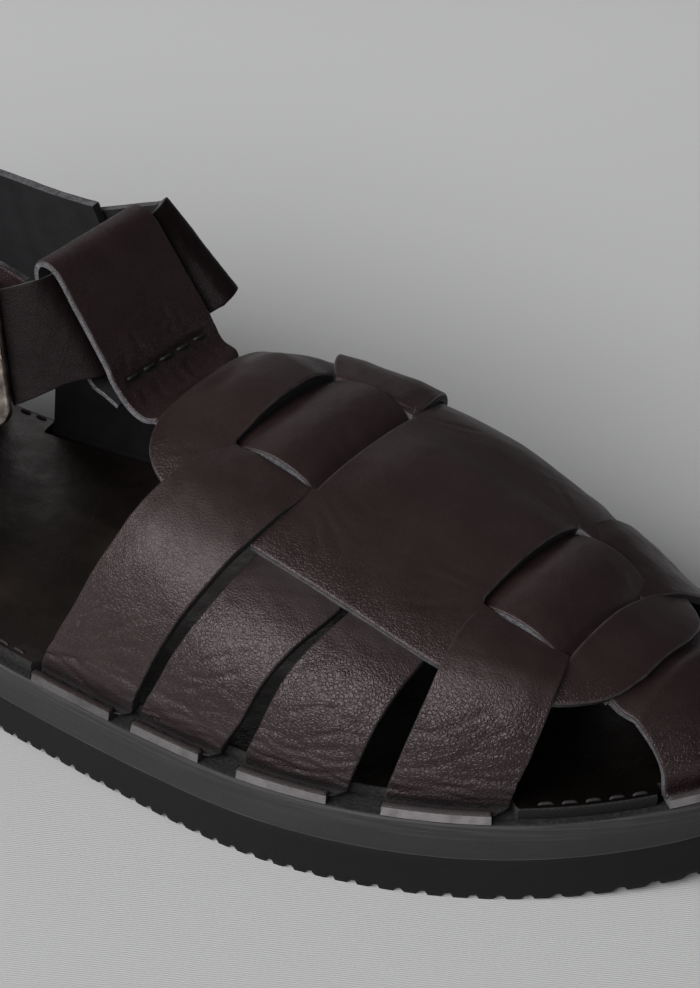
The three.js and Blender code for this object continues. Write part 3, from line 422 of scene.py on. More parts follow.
@dataclass
class Hide:
    """A piece of leather: a grid of points on its face, and the grid behind it.

    kept says which cells of the grid are leather, and rim how far each point is from a cut edge.
    pebble, buff and shade are the grain's strength, rubbed places (on the side straps' feet also a
    painted highlight) and painted shade from 0 to 1.
    round is the cut edge's radius. open_ends leaves the first and last row without that radius,
    and buffed_end gives the last row's cut edge the buffed finish.
    """

    face: Array
    thickness: float = LEATHER
    back: Array | None = None
    kept: Array | None = None
    rim: Array | None = None
    pebble: Array | float = 0.4
    buff: Array | float = 0.0
    shade: Array | float = 0.0
    round: float = 0.45
    open_ends: bool = False
    buffed_end: bool = False

    def edge_distance(self) -> Array:
        """Distance in mm from each point to the nearest cut edge of the piece."""
        if self.rim is not None:
            return self.rim
        across, along = lengths(self.face, 1), lengths(self.face, 0)
        near = np.minimum(across, across[:, -1:] - across)
        return near if self.open_ends else np.minimum(near, np.minimum(along, along[-1:] - along))

    def shaped(self, lift: Array | float = 0.0) -> "Hide":
        """Presses the relief in, and rounds the face over at its cut edges.

        Formula: a quarter circle of radius round, over the distance to the edge.
        Args: lift, how far each point stands out.
        Returns: the same piece.
        """
        normal = grid_normals(self.face)
        if self.back is None:
            self.back = self.face - normal * self.thickness
        gap = np.clip(self.round - self.edge_distance(), 0, self.round)
        drop = self.round - np.sqrt(np.maximum(self.round**2 - gap**2, 0))
        self.face = self.face + normal * (np.asarray(lift) - drop)[..., None]
        return self

    def build(self, name: str, materials: Sequence[Finish]) -> Piece:
        """The closed piece: face, back and the cut edge between them.

        Args: name. materials, those of the face, the cut edge, the back and the buffed edge.
        Returns: the object.
        """
        n, m = self.face.shape[:2]
        number = np.arange(n * m).reshape(n, m)
        kept = np.ones((n - 1, m - 1), bool) if self.kept is None else self.kept
        corner = [number[:-1, :-1], number[1:, :-1], number[1:, 1:], number[:-1, 1:]]
        front = np.stack([c[kept] for c in corner], 1)
        behind = front[:, ::-1] + n * m
        padded = np.pad(kept, 1)
        beside = [padded[1:-1, :-2], padded[2:, 1:-1], padded[1:-1, 2:], padded[:-2, 1:-1]]
        walls, wall_looks = [], []
        for k in range(4):
            bare = kept & ~beside[k]
            a, b = corner[k][bare], corner[(k + 1) % 4][bare]
            walls.append(np.stack([b, a, a + n * m, b + n * m], 1))
            foot = (a // m == n - 1) & (b // m == n - 1) & self.buffed_end
            wall_looks.append(np.where(foot, 3, 1))
        faces = np.concatenate([front, behind, *walls])
        looks = np.concatenate([np.zeros(len(front)), np.full(len(behind), 2), *wall_looks])
        points = np.concatenate([self.face.reshape(-1, 3), self.back.reshape(-1, 3)])
        used = np.unique(faces)
        renumber = np.zeros(2 * n * m, int)
        renumber[used] = np.arange(len(used))
        wear = 1 - ramp(self.edge_distance(), 0, 0.6)
        values = {
            key: np.tile(np.broadcast_to(value, (n, m)).ravel(), 2)[used]
            for key, value in (("pebble", self.pebble), ("buff", self.buff),
                               ("shade", self.shade), ("wear", wear))
        }
        return new_object(name, points[used], renumber[faces].tolist(), looks.astype(int),
                          materials, values)


@dataclass(frozen=True)
class Crease:
    """A soft trough on a piece, in its own two coordinates in mm."""

    start: tuple[float, float]
    end: tuple[float, float]
    depth: float = 0.2
    width: float = 0.7
    bow: float = 0.0


def creased(u: Array, v: Array, creases: Sequence[Crease]) -> Array:
    """Relief of listed creases.

    Formula: over the distance to a bowed line, a trough of Gaussian form with a low ridge on
    either side, faded out over its ends.
    Args: u and v, each point's place in mm. creases, the lines.
    Returns: height at each point in mm.
    """
    relief = np.zeros(np.broadcast(u, v).shape)
    for crease in creases:
        start, end = np.array(crease.start), np.array(crease.end)
        way = end - start
        length = float(np.hypot(*way))
        way = way / length
        along = (u - start[0]) * way[0] + (v - start[1]) * way[1]
        side = (v - start[1]) * way[0] - (u - start[0]) * way[1]
        share = np.clip(along / length, 0, 1)
        side = side - crease.bow * 4 * share * (1 - share)
        beyond = np.maximum(0, np.maximum(-along, along - length))
        fade = ramp(share, 0, 0.25) * (1 - ramp(share, 0.75, 1)) * np.exp(-beyond)
        reach = side / crease.width
        relief += crease.depth * fade * (0.35 * np.exp(-((np.abs(reach) - 2) ** 2))
                                         - np.exp(-(reach**2)))
    return relief


def stitches(name: str, path: Array, normal: Array, pitch: float, share: float, radius: float,
             material: Finish, sink: float = 0.25,
             open_at: Array | None = None) -> Piece:
    """A run of thread stitches as one mesh of small bowed tubes.

    Formula: each stitch follows its chord, its ends go down with the fourth power of the way
    from its middle, and its radius closes at both ends.
    Args: name. path, points in mm. normal, the way up at each point. pitch, spacing in mm.
        share, the thread's part of it. radius of the thread. material. sink, how deep the ends
        go. open_at, for each point of the path, whether a stitch may lie there.
    Returns: the object.
    """
    length = lengths(path, 0)
    count = max(1, int(length[-1] / pitch))
    pitch = length[-1] / count
    starts = np.arange(count) * pitch + pitch * (1 - share) / 2
    t = np.linspace(0, 1, 9)
    at = starts[:, None] + t[None] * pitch * share
    if open_at is not None:
        at = at[np.interp(at, length, open_at.astype(float)).min(1) > 0.99]
    spine, up = (np.stack([np.interp(at, length, values[:, k]) for k in range(3)], -1)
                 for values in (path, normal))
    up = unit(up)
    along = unit(np.gradient(spine, axis=1))
    side = unit(np.cross(along, up))
    up = np.cross(side, along)
    spine = spine + up * (radius * 0.6 - sink * (2 * t - 1) ** 4)[None, :, None]
    size = radius * np.sqrt(np.maximum(1 - (2 * t - 1) ** 6, 0.05))[None, :, None, None]
    turn = np.arange(8) * math.pi / 4
    ring = np.cos(turn)[None, None, :, None] * side[:, :, None] + (
        np.sin(turn)[None, None, :, None] * up[:, :, None])
    points = spine[:, :, None] + ring * size
    number = np.arange(points[..., 0].size).reshape(points.shape[:3])
    near, far = number[:, :-1], number[:, 1:]
    quads = np.stack([near, np.roll(near, -1, 2), np.roll(far, -1, 2), far], -1).reshape(-1, 4)
    caps = np.concatenate([number[:, 0, ::-1], number[:, -1]])
    faces = quads.tolist() + caps.tolist()
    return new_object(name, points.reshape(-1, 3), faces, [0] * len(faces), [material])


# Finishes


class Nodes:
    """A material's node tree, with short calls for what the finishes need."""

    def __init__(self, name: str) -> None:
        """Makes an empty node material with its output and main shader."""
        self.material = bpy.data.materials.new(name)
        self.material.use_nodes = True
        self.tree = self.material.node_tree
        self.shader = self.tree.nodes["Principled BSDF"]
        self.place = self.add("ShaderNodeTexCoord").outputs["Object"]

    def add(self, kind: str, **settings: object) -> bpy.types.Node:
        """A node of a kind, with its settings."""
        node = self.tree.nodes.new(kind)
        for key, value in settings.items():
            setattr(node, key, value)
        return node

    def join(self, source: object, target: Socket) -> None:
        """Links a socket, or sets the number or colour there."""
        if isinstance(source, Socket):
            self.tree.links.new(source, target)
        else:
            target.default_value = source

    def paint(self, colour: object, target: Socket) -> None:
        """Links a colour's socket, or sets a colour there."""
        self.join(colour if isinstance(colour, Socket) else (*colour, 1.0), target)

    def along(self) -> dict[str, Socket]:
        """The place's own X, Y and Z."""
        split = self.add("ShaderNodeSeparateXYZ")
        self.join(self.place, split.inputs["Vector"])
        return {socket.name: socket for socket in split.outputs}

    def attribute(self, name: str) -> Socket:
        """A point attribute of the mesh."""
        return self.add("ShaderNodeAttribute", attribute_name=name).outputs["Fac"]

    def faces(self, direction: Place) -> Socket:
        """How far the surface looks in a direction: its normal's dot product with it."""
        node = self.add("ShaderNodeVectorMath", operation="DOT_PRODUCT")
        self.join(self.add("ShaderNodeNewGeometry").outputs["Normal"], node.inputs[0])
        node.inputs[1].default_value = direction
        return node.outputs["Value"]

    def noise(self, size: float, detail: float = 3, rough: float = 0.55,
              stretch: Place | None = None,
              place: Socket | None = None) -> Socket:
        """Noise.

        Args: size, its features in mm. detail and rough, the node's own. stretch, how far they
            are drawn out along each axis. place, the coordinates, or else the object's.
        Returns: a share from 0 to 1.
        """
        node = self.add("ShaderNodeTexNoise")
        node.inputs["Scale"].default_value = 1000.0 / size
        node.inputs["Detail"].default_value = detail
        node.inputs["Roughness"].default_value = rough
        where = place or self.place
        if stretch:
            mapping = self.add("ShaderNodeMapping")
            mapping.inputs["Scale"].default_value = [1 / s for s in stretch]
            self.join(where, mapping.inputs["Vector"])
            where = mapping.outputs["Vector"]
        self.join(where, node.inputs["Vector"])
        return node.outputs["Fac"]

    def warped(self, size: float, amount: float) -> Socket:
        """Object coordinates pushed about by noise: size and amount in mm."""
        node = self.add("ShaderNodeTexNoise")
        node.inputs["Scale"].default_value = 1000.0 / size
        self.join(self.place, node.inputs["Vector"])
        centred = self.add("ShaderNodeVectorMath", operation="MULTIPLY_ADD")
        self.join(node.outputs["Color"], centred.inputs[0])
        centred.inputs[1].default_value = [amount / 500.0] * 3
        self.join(self.place, centred.inputs[2])
        return centred.outputs["Vector"]

    def cells(self, size: float, place: Socket | None = None,
              feature: str = "DISTANCE_TO_EDGE") -> Socket:
        """Cell pattern with cells of about size mm: 0 on their borders."""
        node = self.add("ShaderNodeTexVoronoi", feature=feature)
        node.inputs["Scale"].default_value = 1000.0 / size
        self.join(place or self.place, node.inputs["Vector"])
        return node.outputs["Distance"]

    def span(self, value: object, low: float, high: float, to_low: float = 0.0,
             to_high: float = 1.0, soft: bool = False) -> Socket:
        """A value's way from low to high, as a number from to_low to to_high, held there."""
        node = self.add("ShaderNodeMapRange",
                        interpolation_type="SMOOTHSTEP" if soft else "LINEAR")
        self.join(value, node.inputs["Value"])
        for key, number in zip(("From Min", "From Max", "To Min", "To Max"),
                               (low, high, to_low, to_high)):
            node.inputs[key].default_value = number
        return node.outputs["Result"]

    def math(self, operation: str, a: object, b: object = 0.0, c: object = 0.0) -> Socket:
        """A Math node's result, by its operation's name."""
        node = self.add("ShaderNodeMath", operation=operation)
        for socket, value in zip(node.inputs, (a, b, c)):
            self.join(value, socket)
        return node.outputs["Value"]

    def blend(self, share: object, a: object, b: object) -> Socket:
        """Colour a where share is 0, b where it is 1."""
        node = self.add("ShaderNodeMix", data_type="RGBA")
        self.join(share, node.inputs["Factor"])
        self.paint(a, node.inputs["A"])
        self.paint(b, node.inputs["B"])
        return node.outputs["Result"]

    def relief(self, height: object, distance: float, strength: float = 1.0,
               under: Socket | None = None) -> Socket:
        """Bump of a height, 1 standing for distance in mm."""
        node = self.add("ShaderNodeBump")
        node.inputs["Strength"].default_value = strength
        node.inputs["Distance"].default_value = distance / 1000.0
        self.join(height, node.inputs["Height"])
        if under:
            self.join(under, node.inputs["Normal"])
        return node.outputs["Normal"]

    def done(self, colour: object, roughness: object, normal: object = None,
             **fixed: float | Sequence[float]) -> Finish:
        """Sets the shader's main inputs, and fixed numbers on its own sockets."""
        self.paint(colour, self.shader.inputs["Base Color"])
        self.join(roughness, self.shader.inputs["Roughness"])
        if normal:
            self.join(normal, self.shader.inputs["Normal"])
        for key, value in fixed.items():
            self.shader.inputs[key.replace("_", " ")].default_value = value
        return self.material


@dataclass(frozen=True)
class GrainLeather:
    """Grained upper leather: fine cells, matt where it lies flat, glossier where it bends.

    The attributes pebble, wear, buff and shade of the piece say where the grain stands out, where
    a cut edge or a fold is rubbed pale, and where painted shade darkens it. Sizes are in mm.
    """

    name: str
    colour: Colour = (0.0205, 0.0108, 0.0108)
    light: Colour = (0.03, 0.0172, 0.0175)
    worn: Colour = (0.075, 0.066, 0.066)
    # near black of the painted shade; the grain's cracks take it too
    painted_shade: Colour = (0.0015, 0.0013, 0.0013)
    tint: Colour = (1, 0.88, 0.9)
    cell: float = 0.85
    depth: float = 0.075
    gloss: float = 0.46

    def make(self) -> Finish:
        """Builds the material."""
        n = Nodes(self.name)
        pebble, wear, buff = n.attribute("pebble"), n.attribute("wear"), n.attribute("buff")
        shade = n.attribute("shade")
        patch = n.noise(9, 3)
        warp = n.warped(1.6, 0.55)
        coarse = n.span(n.cells(self.cell, warp), 0, 0.24, soft=True)
        fine = n.span(n.cells(self.cell * 0.45, warp), 0, 0.35, soft=True)
        pores = n.noise(0.22, 2)
        long_folds = n.noise(1.5, 4, 0.6, (1.0, 3.2, 1.6), n.warped(6, 2.0))
        coarse_share = n.math("MULTIPLY", coarse, pebble)
        height = n.math("MULTIPLY_ADD", fine, 0.28, coarse_share)
        height = n.math("MULTIPLY_ADD", pores, 0.22, height)
        height = n.math("MULTIPLY_ADD", long_folds, n.math("MULTIPLY_ADD", pebble, 0.9, 0.35),
                        height)
        normal = n.relief(height, self.depth)
        tone = n.span(n.math("MULTIPLY_ADD", coarse_share, 0.25, patch), 0.35, 0.9)
        colour = n.blend(tone, self.colour, self.light)
        crack = n.math("MULTIPLY", n.span(coarse, 0, 0.7, 0.6, 0), pebble)
        # painted shade: the shade attribute, like the grain's cracks, darkens towards near black
        colour = n.blend(n.math("MAXIMUM", crack, shade), colour, self.painted_shade)
        worn = n.math("MULTIPLY", wear, n.span(n.noise(2.5, 2), 0.35, 0.65, 0.25, 0.75))
        colour = n.blend(worn, colour, self.worn)
        # buffed feet; on the side straps paler towards the toe as a painted highlight
        colour = n.blend(n.math("MULTIPLY", buff, 0.8), colour, self.worn)
        rough = n.math("MULTIPLY_ADD", n.noise(0.9, 3), 0.12, n.span(pebble, 0.1, 0.8, 0.4, 0.3))
        rough = n.math("SUBTRACT", rough, n.math("MULTIPLY", coarse_share, 0.06))
        rough = n.math("MULTIPLY_ADD", shade, 0.4, rough)
        return n.done(colour, rough, normal, Specular_IOR_Level=self.gloss,
                      Specular_Tint=(*self.tint, 1))


@dataclass(frozen=True)
class CutEdge:
    """Leather's cut edge: grey dyed fibres, dry and rough, or buffed smooth.

    With a polished colour, the attribute buff says where it is rubbed pale. Without one, an edge
    that looks to the toe is painted near black as shade, and the others are worn grey.
    """

    name: str
    colour: Colour = (0.15, 0.15, 0.162)
    dark: Colour = (0.045, 0.043, 0.045)
    roughness: float = 0.75
    fibre: float = 0.12
    polished: Colour | None = None
    # near black of the painted shade on edges that look to the toe
    toe_side_shade: Colour = (0.0045, 0.0042, 0.0044)

    def make(self) -> Finish:
        """Builds the material."""
        n = Nodes(self.name)
        fibres = n.noise(0.5, 4, 0.65, (1.6, 1.6, 0.7))
        patch = n.noise(3.5, 2)
        share = n.math("ADD", n.span(fibres, 0.32, 0.62), n.math("SUBTRACT", patch, 0.55))
        colour = n.blend(n.span(share, 0.0, 1.0), self.dark, self.colour)
        if self.polished:
            # rubbed pale where buffed; on the side straps' feet partly a painted highlight
            rubbed = n.math("MULTIPLY", n.attribute("buff"), n.span(patch, 0.3, 0.6, 0.6, 1))
            colour = n.blend(rubbed, colour, self.polished)
        else:
            # painted shade: edges whose normal looks to the toe go near black
            front = n.span(n.faces((1.0, 0.0, 0.0)), 0.3, 0.65, 0, 0.92, soft=True)
            colour = n.blend(front, colour, self.toe_side_shade)
        normal = n.relief(fibres, self.fibre)
        return n.done(colour, self.roughness, normal, Specular_IOR_Level=0.35)


@dataclass(frozen=True)
class Suede:
    """The flesh side of the leather: bluish black, napped."""

    name: str
    colour: Colour = (0.006, 0.0055, 0.0067)
    light: Colour = (0.0125, 0.0118, 0.014)

    def make(self) -> Finish:
        """Builds the material."""
        n = Nodes(self.name)
        nap = n.noise(0.35, 4, 0.7)
        colour = n.blend(n.span(n.noise(7, 4, 0.6), 0.35, 0.7), self.colour, self.light)
        normal = n.relief(nap, 0.12)
        return n.done(colour, 0.92, normal, Specular_IOR_Level=0.15, Sheen_Weight=0.06,
                      Sheen_Roughness=0.6)


@dataclass(frozen=True)
class FootbedLeather:
    """Smooth insole leather, polished in patches by wear, and painted near black as shade under
    the straps.

    under_from and under_to are the part's own x in metres between which the painted shade sets in.
    """

    name: str
    colour: Colour = (0.0082, 0.0056, 0.0046)
    light: Colour = (0.0235, 0.0172, 0.014)
    # near black of the painted shade
    dark: Colour = (0.001, 0.0008, 0.0007)
    tint: Colour = (1, 0.86, 0.82)
    under_from: float = -0.01
    under_to: float = 0.022

    def make(self) -> Finish:
        """Builds the material."""
        n = Nodes(self.name)
        patch = n.noise(22, 5, 0.6, (1.8, 1.0, 1.0))
        colour = n.blend(n.span(patch, 0.4, 0.68, soft=True), self.colour, self.light)
        grain = n.math("MULTIPLY_ADD", n.cells(0.5, n.warped(2, 0.4)), 0.6, n.noise(0.6, 3))
        low = n.noise(14, 3)
        normal = n.relief(low, 0.9, 0.5, n.relief(grain, 0.05))
        # painted shade under the straps' front: the insole goes near black, with less gloss
        upper_shade = n.span(n.along()["X"], self.under_from, self.under_to, soft=True)
        colour = n.blend(n.math("MULTIPLY", upper_shade, 0.8), colour, self.dark)
        rough = n.span(n.noise(16, 4, 0.62), 0.35, 0.68, 0.3, 0.55)
        rough = n.math("MULTIPLY_ADD", upper_shade, -0.08, rough)
        n.join(n.span(upper_shade, 0, 1, 0.5, 0.22), n.shader.inputs["Specular IOR Level"])
        return n.done(colour, rough, normal, Specular_Tint=(*self.tint, 1))


@dataclass(frozen=True)
class SoleRubber:
    """Foamed or moulded rubber: fine pores, with buffing streaks round its side.

    The attribute level is each point's share of the slab's height. joint is the colour of the
    hairline of glue at its foot.
    """

    name: str
    colour: Colour = (0.021, 0.0198, 0.0196)
    light: Colour = (0.06, 0.058, 0.0565)
    streaks: float = 1.0
    pore: float = 0.3
    roughness: float = 0.6
    joint: Colour | None = None
    gloss: float = 0.4

    def make(self) -> Finish:
        """Builds the material."""
        n = Nodes(self.name)
        level = n.attribute("level")
        streak = n.noise(0.8, 4, 0.6, (30.0, 30.0, 0.55))
        pores = n.noise(self.pore, 3, 0.7)
        patch = n.noise(18, 3, 0.5, (2.0, 2.0, 0.5))
        top = n.math("MULTIPLY", n.span(level, 0.45, 1.0, 0.12, 1.0), self.streaks)
        share = n.math("MULTIPLY", n.span(streak, 0.42, 0.66), top)
        share = n.math("ADD", share, n.math("MULTIPLY_ADD", patch, 0.5, -0.2))
        share = n.math("ADD", share, n.math("MULTIPLY_ADD", pores, 0.3, -0.15))
        colour = n.blend(n.span(share, 0, 1.2), self.colour, self.light)
        if self.joint:
            colour = n.blend(n.span(level, 0.01, 0.05, 0.8, 0), colour, self.joint)
        normal = n.relief(n.math("MULTIPLY_ADD", streak, 0.6, pores), 0.07)
        return n.done(colour, self.roughness, normal, Specular_IOR_Level=self.gloss)


@dataclass(frozen=True)
class AgedMetal:
    """Dark gunmetal with warm, brighter patches."""

    name: str
    colour: Colour = (0.12, 0.098, 0.085)
    bright: Colour = (0.36, 0.31, 0.27)

    def make(self) -> Finish:
        """Builds the material."""
        n = Nodes(self.name)
        patch = n.noise(3, 4, 0.6)
        colour = n.blend(n.span(patch, 0.35, 0.7), self.colour, self.bright)
        normal = n.relief(n.noise(0.5, 3), 0.02)
        rough = n.span(n.noise(1.2, 3), 0.3, 0.7, 0.24, 0.42)
        return n.done(colour, rough, normal, Metallic=1.0)


@dataclass(frozen=True)
class Thread:
    """Waxed sewing thread."""

    name: str
    colour: Colour = (0.009, 0.0085, 0.009)
    light: Colour = (0.022, 0.021, 0.022)

    def make(self) -> Finish:
        """Builds the material."""
        n = Nodes(self.name)
        ply = n.noise(0.25, 3, 0.6, (1.0, 1.0, 0.6))
        colour = n.blend(n.span(ply, 0.35, 0.65), self.colour, self.light)
        return n.done(colour, 0.6, n.relief(ply, 0.08))


@dataclass(frozen=True)
class FloorCloth:
    """The pale floor: light grey with a fine diagonal twill of pitch mm.

    The twill fades out over the floor's way to the back wall, and painted light makes the cloth
    lighter there.
    """

    name: str
    grey: float = 0.66
    pitch: float = 0.62
    turn: float = 63.0
    back_x: float = -0.59
    back_y: float = 0.81

    def make(self) -> Finish:
        """Builds the material."""
        n = Nodes(self.name)
        turned = n.add("ShaderNodeMapping")
        turned.inputs["Rotation"].default_value = (0, 0, math.radians(self.turn))
        n.join(n.warped(7, 0.5), turned.inputs["Vector"])
        rib = n.add("ShaderNodeTexWave", wave_profile="SIN")
        rib.inputs["Scale"].default_value = 1000 * math.pi / 10 / self.pitch
        rib.inputs["Distortion"].default_value = 0.9
        rib.inputs["Detail Scale"].default_value = 60
        n.join(turned.outputs["Vector"], rib.inputs["Vector"])
        yarn = n.noise(0.7, 2, 0.6)
        place = n.along()
        depth = n.math("MULTIPLY_ADD", place["X"], self.back_x,
                       n.math("MULTIPLY", place["Y"], self.back_y))
        near = n.span(depth, -0.08, 0.06, 1, 0)
        height = n.math("MULTIPLY", n.math("MULTIPLY_ADD", yarn, 0.8, rib.outputs["Fac"]), near)
        tone = n.span(height, 0.4, 1.5)
        colour = n.blend(tone, (self.grey * 0.95,) * 3, (self.grey * 1.04,) * 3)
        # painted light: the cloth grows lighter towards the back
        colour = n.blend(n.span(depth, 0, 0.3), colour, (self.grey * 1.15,) * 3)
        return n.done(colour, 0.95, n.relief(height, 0.03), Specular_IOR_Level=0.1)


class Wardrobe:
    """The finishes of the whole sandal, made once."""

    def __init__(self) -> None:
        """Makes each finish."""
        self.face = GrainLeather("upper_grain").make()
        # a darker copy of the upper grain, as painted shade on the ankle band; the buckle's chape
        # and keeper take it too
        self.strap = GrainLeather("strap_grain_shaded", (0.0074, 0.0044, 0.0046),
                                  (0.0108, 0.0071, 0.0073), cell=0.6, gloss=0.13).make()
        self.edge = CutEdge("cut_edge").make()
        self.flesh = Suede("flesh_side").make()
        self.buffed = CutEdge("buffed_foot_edge", (0.05, 0.047, 0.048), (0.02, 0.0185, 0.019),
                              0.4, polished=(0.2, 0.185, 0.19)).make()
        # the insole's cut edge; also painted shade on the midsole's top in the gaps
        self.insole_edge_and_gap_shade = CutEdge("insole_edge_and_gap_shade", (0.03, 0.029, 0.031), (0.007, 0.007, 0.007),
                                   0.85, 0.2).make()
        self.insole = FootbedLeather("insole_leather").make()
        self.mid = SoleRubber("midsole_foam", joint=(0.085, 0.072, 0.07)).make()
        self.tread = SoleRubber("outsole_rubber_side", (0.0062, 0.0053, 0.0056),
                                (0.0142, 0.0128, 0.0131), 0.2, 0.45, 0.62, gloss=0.24).make()
        self.metal = AgedMetal("aged_metal").make()
        self.thread = Thread("waxed_thread").make()
        self.dark_thread = Thread("dark_thread", (0.005, 0.0045, 0.0045),
                                  (0.013, 0.012, 0.012)).make()

    @property
    def leather(self) -> list[Finish]:
        """Face, cut edge, flesh side and buffed foot edge."""
        return [self.face, self.edge, self.flesh, self.buffed]


def settle(piece: Piece, slot: str, *nodes: str) -> Piece:
    """Makes a piece ride on the shoe.

    Args: piece. slot, not used. nodes, those that it stands for.
    Returns: the piece.
    """
    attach(piece, "root")
    if nodes:
        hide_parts(*nodes)
    log.info("%s: %d faces", piece.name, len(piece.data.polygons))
    return piece


# Soles


@dataclass
class Sole:
    """Outsole, midsole and footbed.

    The tread's grooves have a pitch, width and depth in mm and a turn in degrees. The arch rises
    by arch_rise between arch_from and arch_to. overlap is how far a layer reaches into the next.
    """

    wardrobe: Wardrobe
    pitch: float = 4.2
    groove: float = 2.1
    depth: float = 0.85
    turn: float = -4.5
    arch_from: float = 85.0
    arch_to: float = 210.0
    arch_rise: float = 1.2
    overlap: float = 0.05

    def tread_bottom(self, x: Array, y: Array) -> Array:
        """Height of the tread: arch and toe spring, with a sloped groove at each pitch."""
        t = np.clip((x - self.arch_from) / (self.arch_to - self.arch_from), 0, 1)
        base = self.arch_rise * np.sin(math.pi * t) ** 2 + spring(x)
        turn = math.radians(self.turn)
        u = (x - 140) * math.cos(turn) + y * math.sin(turn)
        off = np.abs((u + self.pitch / 2) % self.pitch - self.pitch / 2)
        half = self.groove / 2
        slope = (half - off) / (half * 0.45) * (self.depth + 0.5) - 0.5
        return base + np.clip(slope, 0, self.depth)

    @staticmethod
    def slab(name: str, rings: Array, level: Array, across: int,
             bottom: Callable[[Array, Array], Array], top: Callable[[Array, Array], Array],
             material: Finish) -> Piece:
        """A closed slab from rings round the shoe, with ruled lids between its two sides.

        Formula: lid rows join the ring's points that lie as far from the heel on either side,
        and take their height from bottom or top.
        Args: name. rings as (k, count, 3) from the bottom edge up. level, each ring's share of
            the height. across, the lids' steps. bottom and top, the lids' heights at x and y.
            material, its finish.
        Returns: the object.
        """
        k, count = rings.shape[:2]
        number = np.arange(k * count).reshape(k, count)
        nxt = np.roll(number, -1, 1)
        faces = np.stack([number[:-1], nxt[:-1], nxt[1:], number[1:]], -1).reshape(-1, 4).tolist()
        points = [rings.reshape(-1, 3)]
        levels = [np.repeat(level, count)]
        half = count // 2
        outer, inner = np.arange(1, half), count - np.arange(1, half)
        base = k * count
        for ring, height, flip, share in ((0, bottom, True, 0.0), (k - 1, top, False, 1.0)):
            t = np.linspace(0, 1, across + 1)[1:-1, None, None]
            lid = rings[ring][outer] * (1 - t) + rings[ring][inner] * t
            lid[..., 2] = height(lid[..., 0], lid[..., 1])
            own = base + np.arange(lid[..., 0].size).reshape(lid.shape[:2])
            index = np.concatenate([number[ring][outer][None], own, number[ring][inner][None]])
            quads = np.stack([index[:-1, :-1], index[:-1, 1:], index[1:, 1:], index[1:, :-1]], -1)
            ends = [[number[ring][0], *index[:, 0]], [number[ring][half], *index[::-1, -1]]]
            quads = quads.reshape(-1, 4)
            faces += (quads[:, ::-1] if flip else quads).tolist()
            faces += [([e[0]] + e[:0:-1] if not flip else e) for e in ends]
            points.append(lid.reshape(-1, 3))
            levels.append(np.full(own.size, share))
            base += own.size
        return new_object(name, np.concatenate(points), faces, [0] * len(faces), [material],
                          {"level": np.concatenate(levels)}, 50)

    @staticmethod
    def level_at(z: float) -> Callable[[Array, Array], Array]:
        """A flat layer's height at x and y: z, with the toe's rise."""
        return lambda x, y: z + spring(x)

    def outsole(self) -> Piece:
        """The ribbed outsole: a wall a little round at its lower edge."""
        share = np.array([0, 0.04, 0.12, 0.25, 0.4, 0.55, 0.7, 0.85, 0.95, 1.0])
        inset = np.array([0.35, 0.12, 0.02, 0, 0, 0, 0, 0, 0.03, 0.16])
        low = self.tread_bottom(*OUTLINE.edge.T)
        top = self.level_at(MIDSOLE_BOTTOM + self.overlap)
        rings = []
        for s, d in zip(share, inset):
            p = OUTLINE.inset(d)
            rings.append(np.column_stack([p, low + (top(*p.T) - low) * s]))
        return self.slab("outsole_ribbed", np.stack(rings), share, 14, self.tread_bottom, top,
                         self.wardrobe.tread)

    def midsole(self) -> Piece:
        """The midsole: buffed side with a soft upper edge and low waves from the buffing.

        Its top, which shows as a hairline round the insole and at the bottom of the gaps between
        the feet, takes the insole edge's dark finish as painted shade.
        """
        share = np.array([0, 0.04, 0.1, 0.25, 0.4, 0.55, 0.7, 0.82, 0.91, 0.97, 1, 1, 1])
        inset = np.array([0.2, 0.06, 0, 0, 0, 0, 0.02, 0.06, 0.14, 0.3, 0.6, 1.5, 7])
        low = self.level_at(MIDSOLE_BOTTOM + 2 * self.overlap)
        high = self.level_at(MIDSOLE_TOP)
        rings = []
        for s, d in zip(share, inset):
            place = np.column_stack([OUTLINE.edge, np.full(OUTLINE.count, 9 * s)])
            wave = 0.1 * ripple(place, 16, 5) * (1 if 0 < s < 1 else 0)
            p = OUTLINE.inset(d) + OUTLINE.inward * np.abs(wave)[:, None]
            rings.append(np.column_stack([p, low(*p.T) + (high(*p.T) - low(*p.T)) * s]))
        piece = self.slab("midsole_buffed", np.stack(rings), share, 4, low, high,
                          self.wardrobe.mid)
        # painted shade: the top faces take the dark insole edge finish
        piece.data.materials.append(self.wardrobe.insole_edge_and_gap_shade)
        facing = np.empty(3 * len(piece.data.polygons), np.float32)
        piece.data.polygons.foreach_get("normal", facing)
        looks = (facing[2::3] > 0.8).astype(np.int32)
        piece.data.polygons.foreach_set("material_index", looks)
        return piece

    @staticmethod
    def dished(x: Array, y: Array) -> Array:
        """The footbed's face: trodden hollows under heel and ball, a low arch between.

        Formula: two-way Gaussian bells of a depth, centre and reach.
        """
        heel, ball, arch = (
            depth * np.exp(-((x - cx) / rx) ** 2 - ((y - cy) / ry) ** 2)
            for depth, cx, cy, rx, ry in ((0.9, 38, -1, 26, 22), (0.7, 205, -8, 34, 36),
                                          (0.5, 118, 18, 34, 16)))
        return FOOT_TOP + spring(x) + arch - (heel + ball)

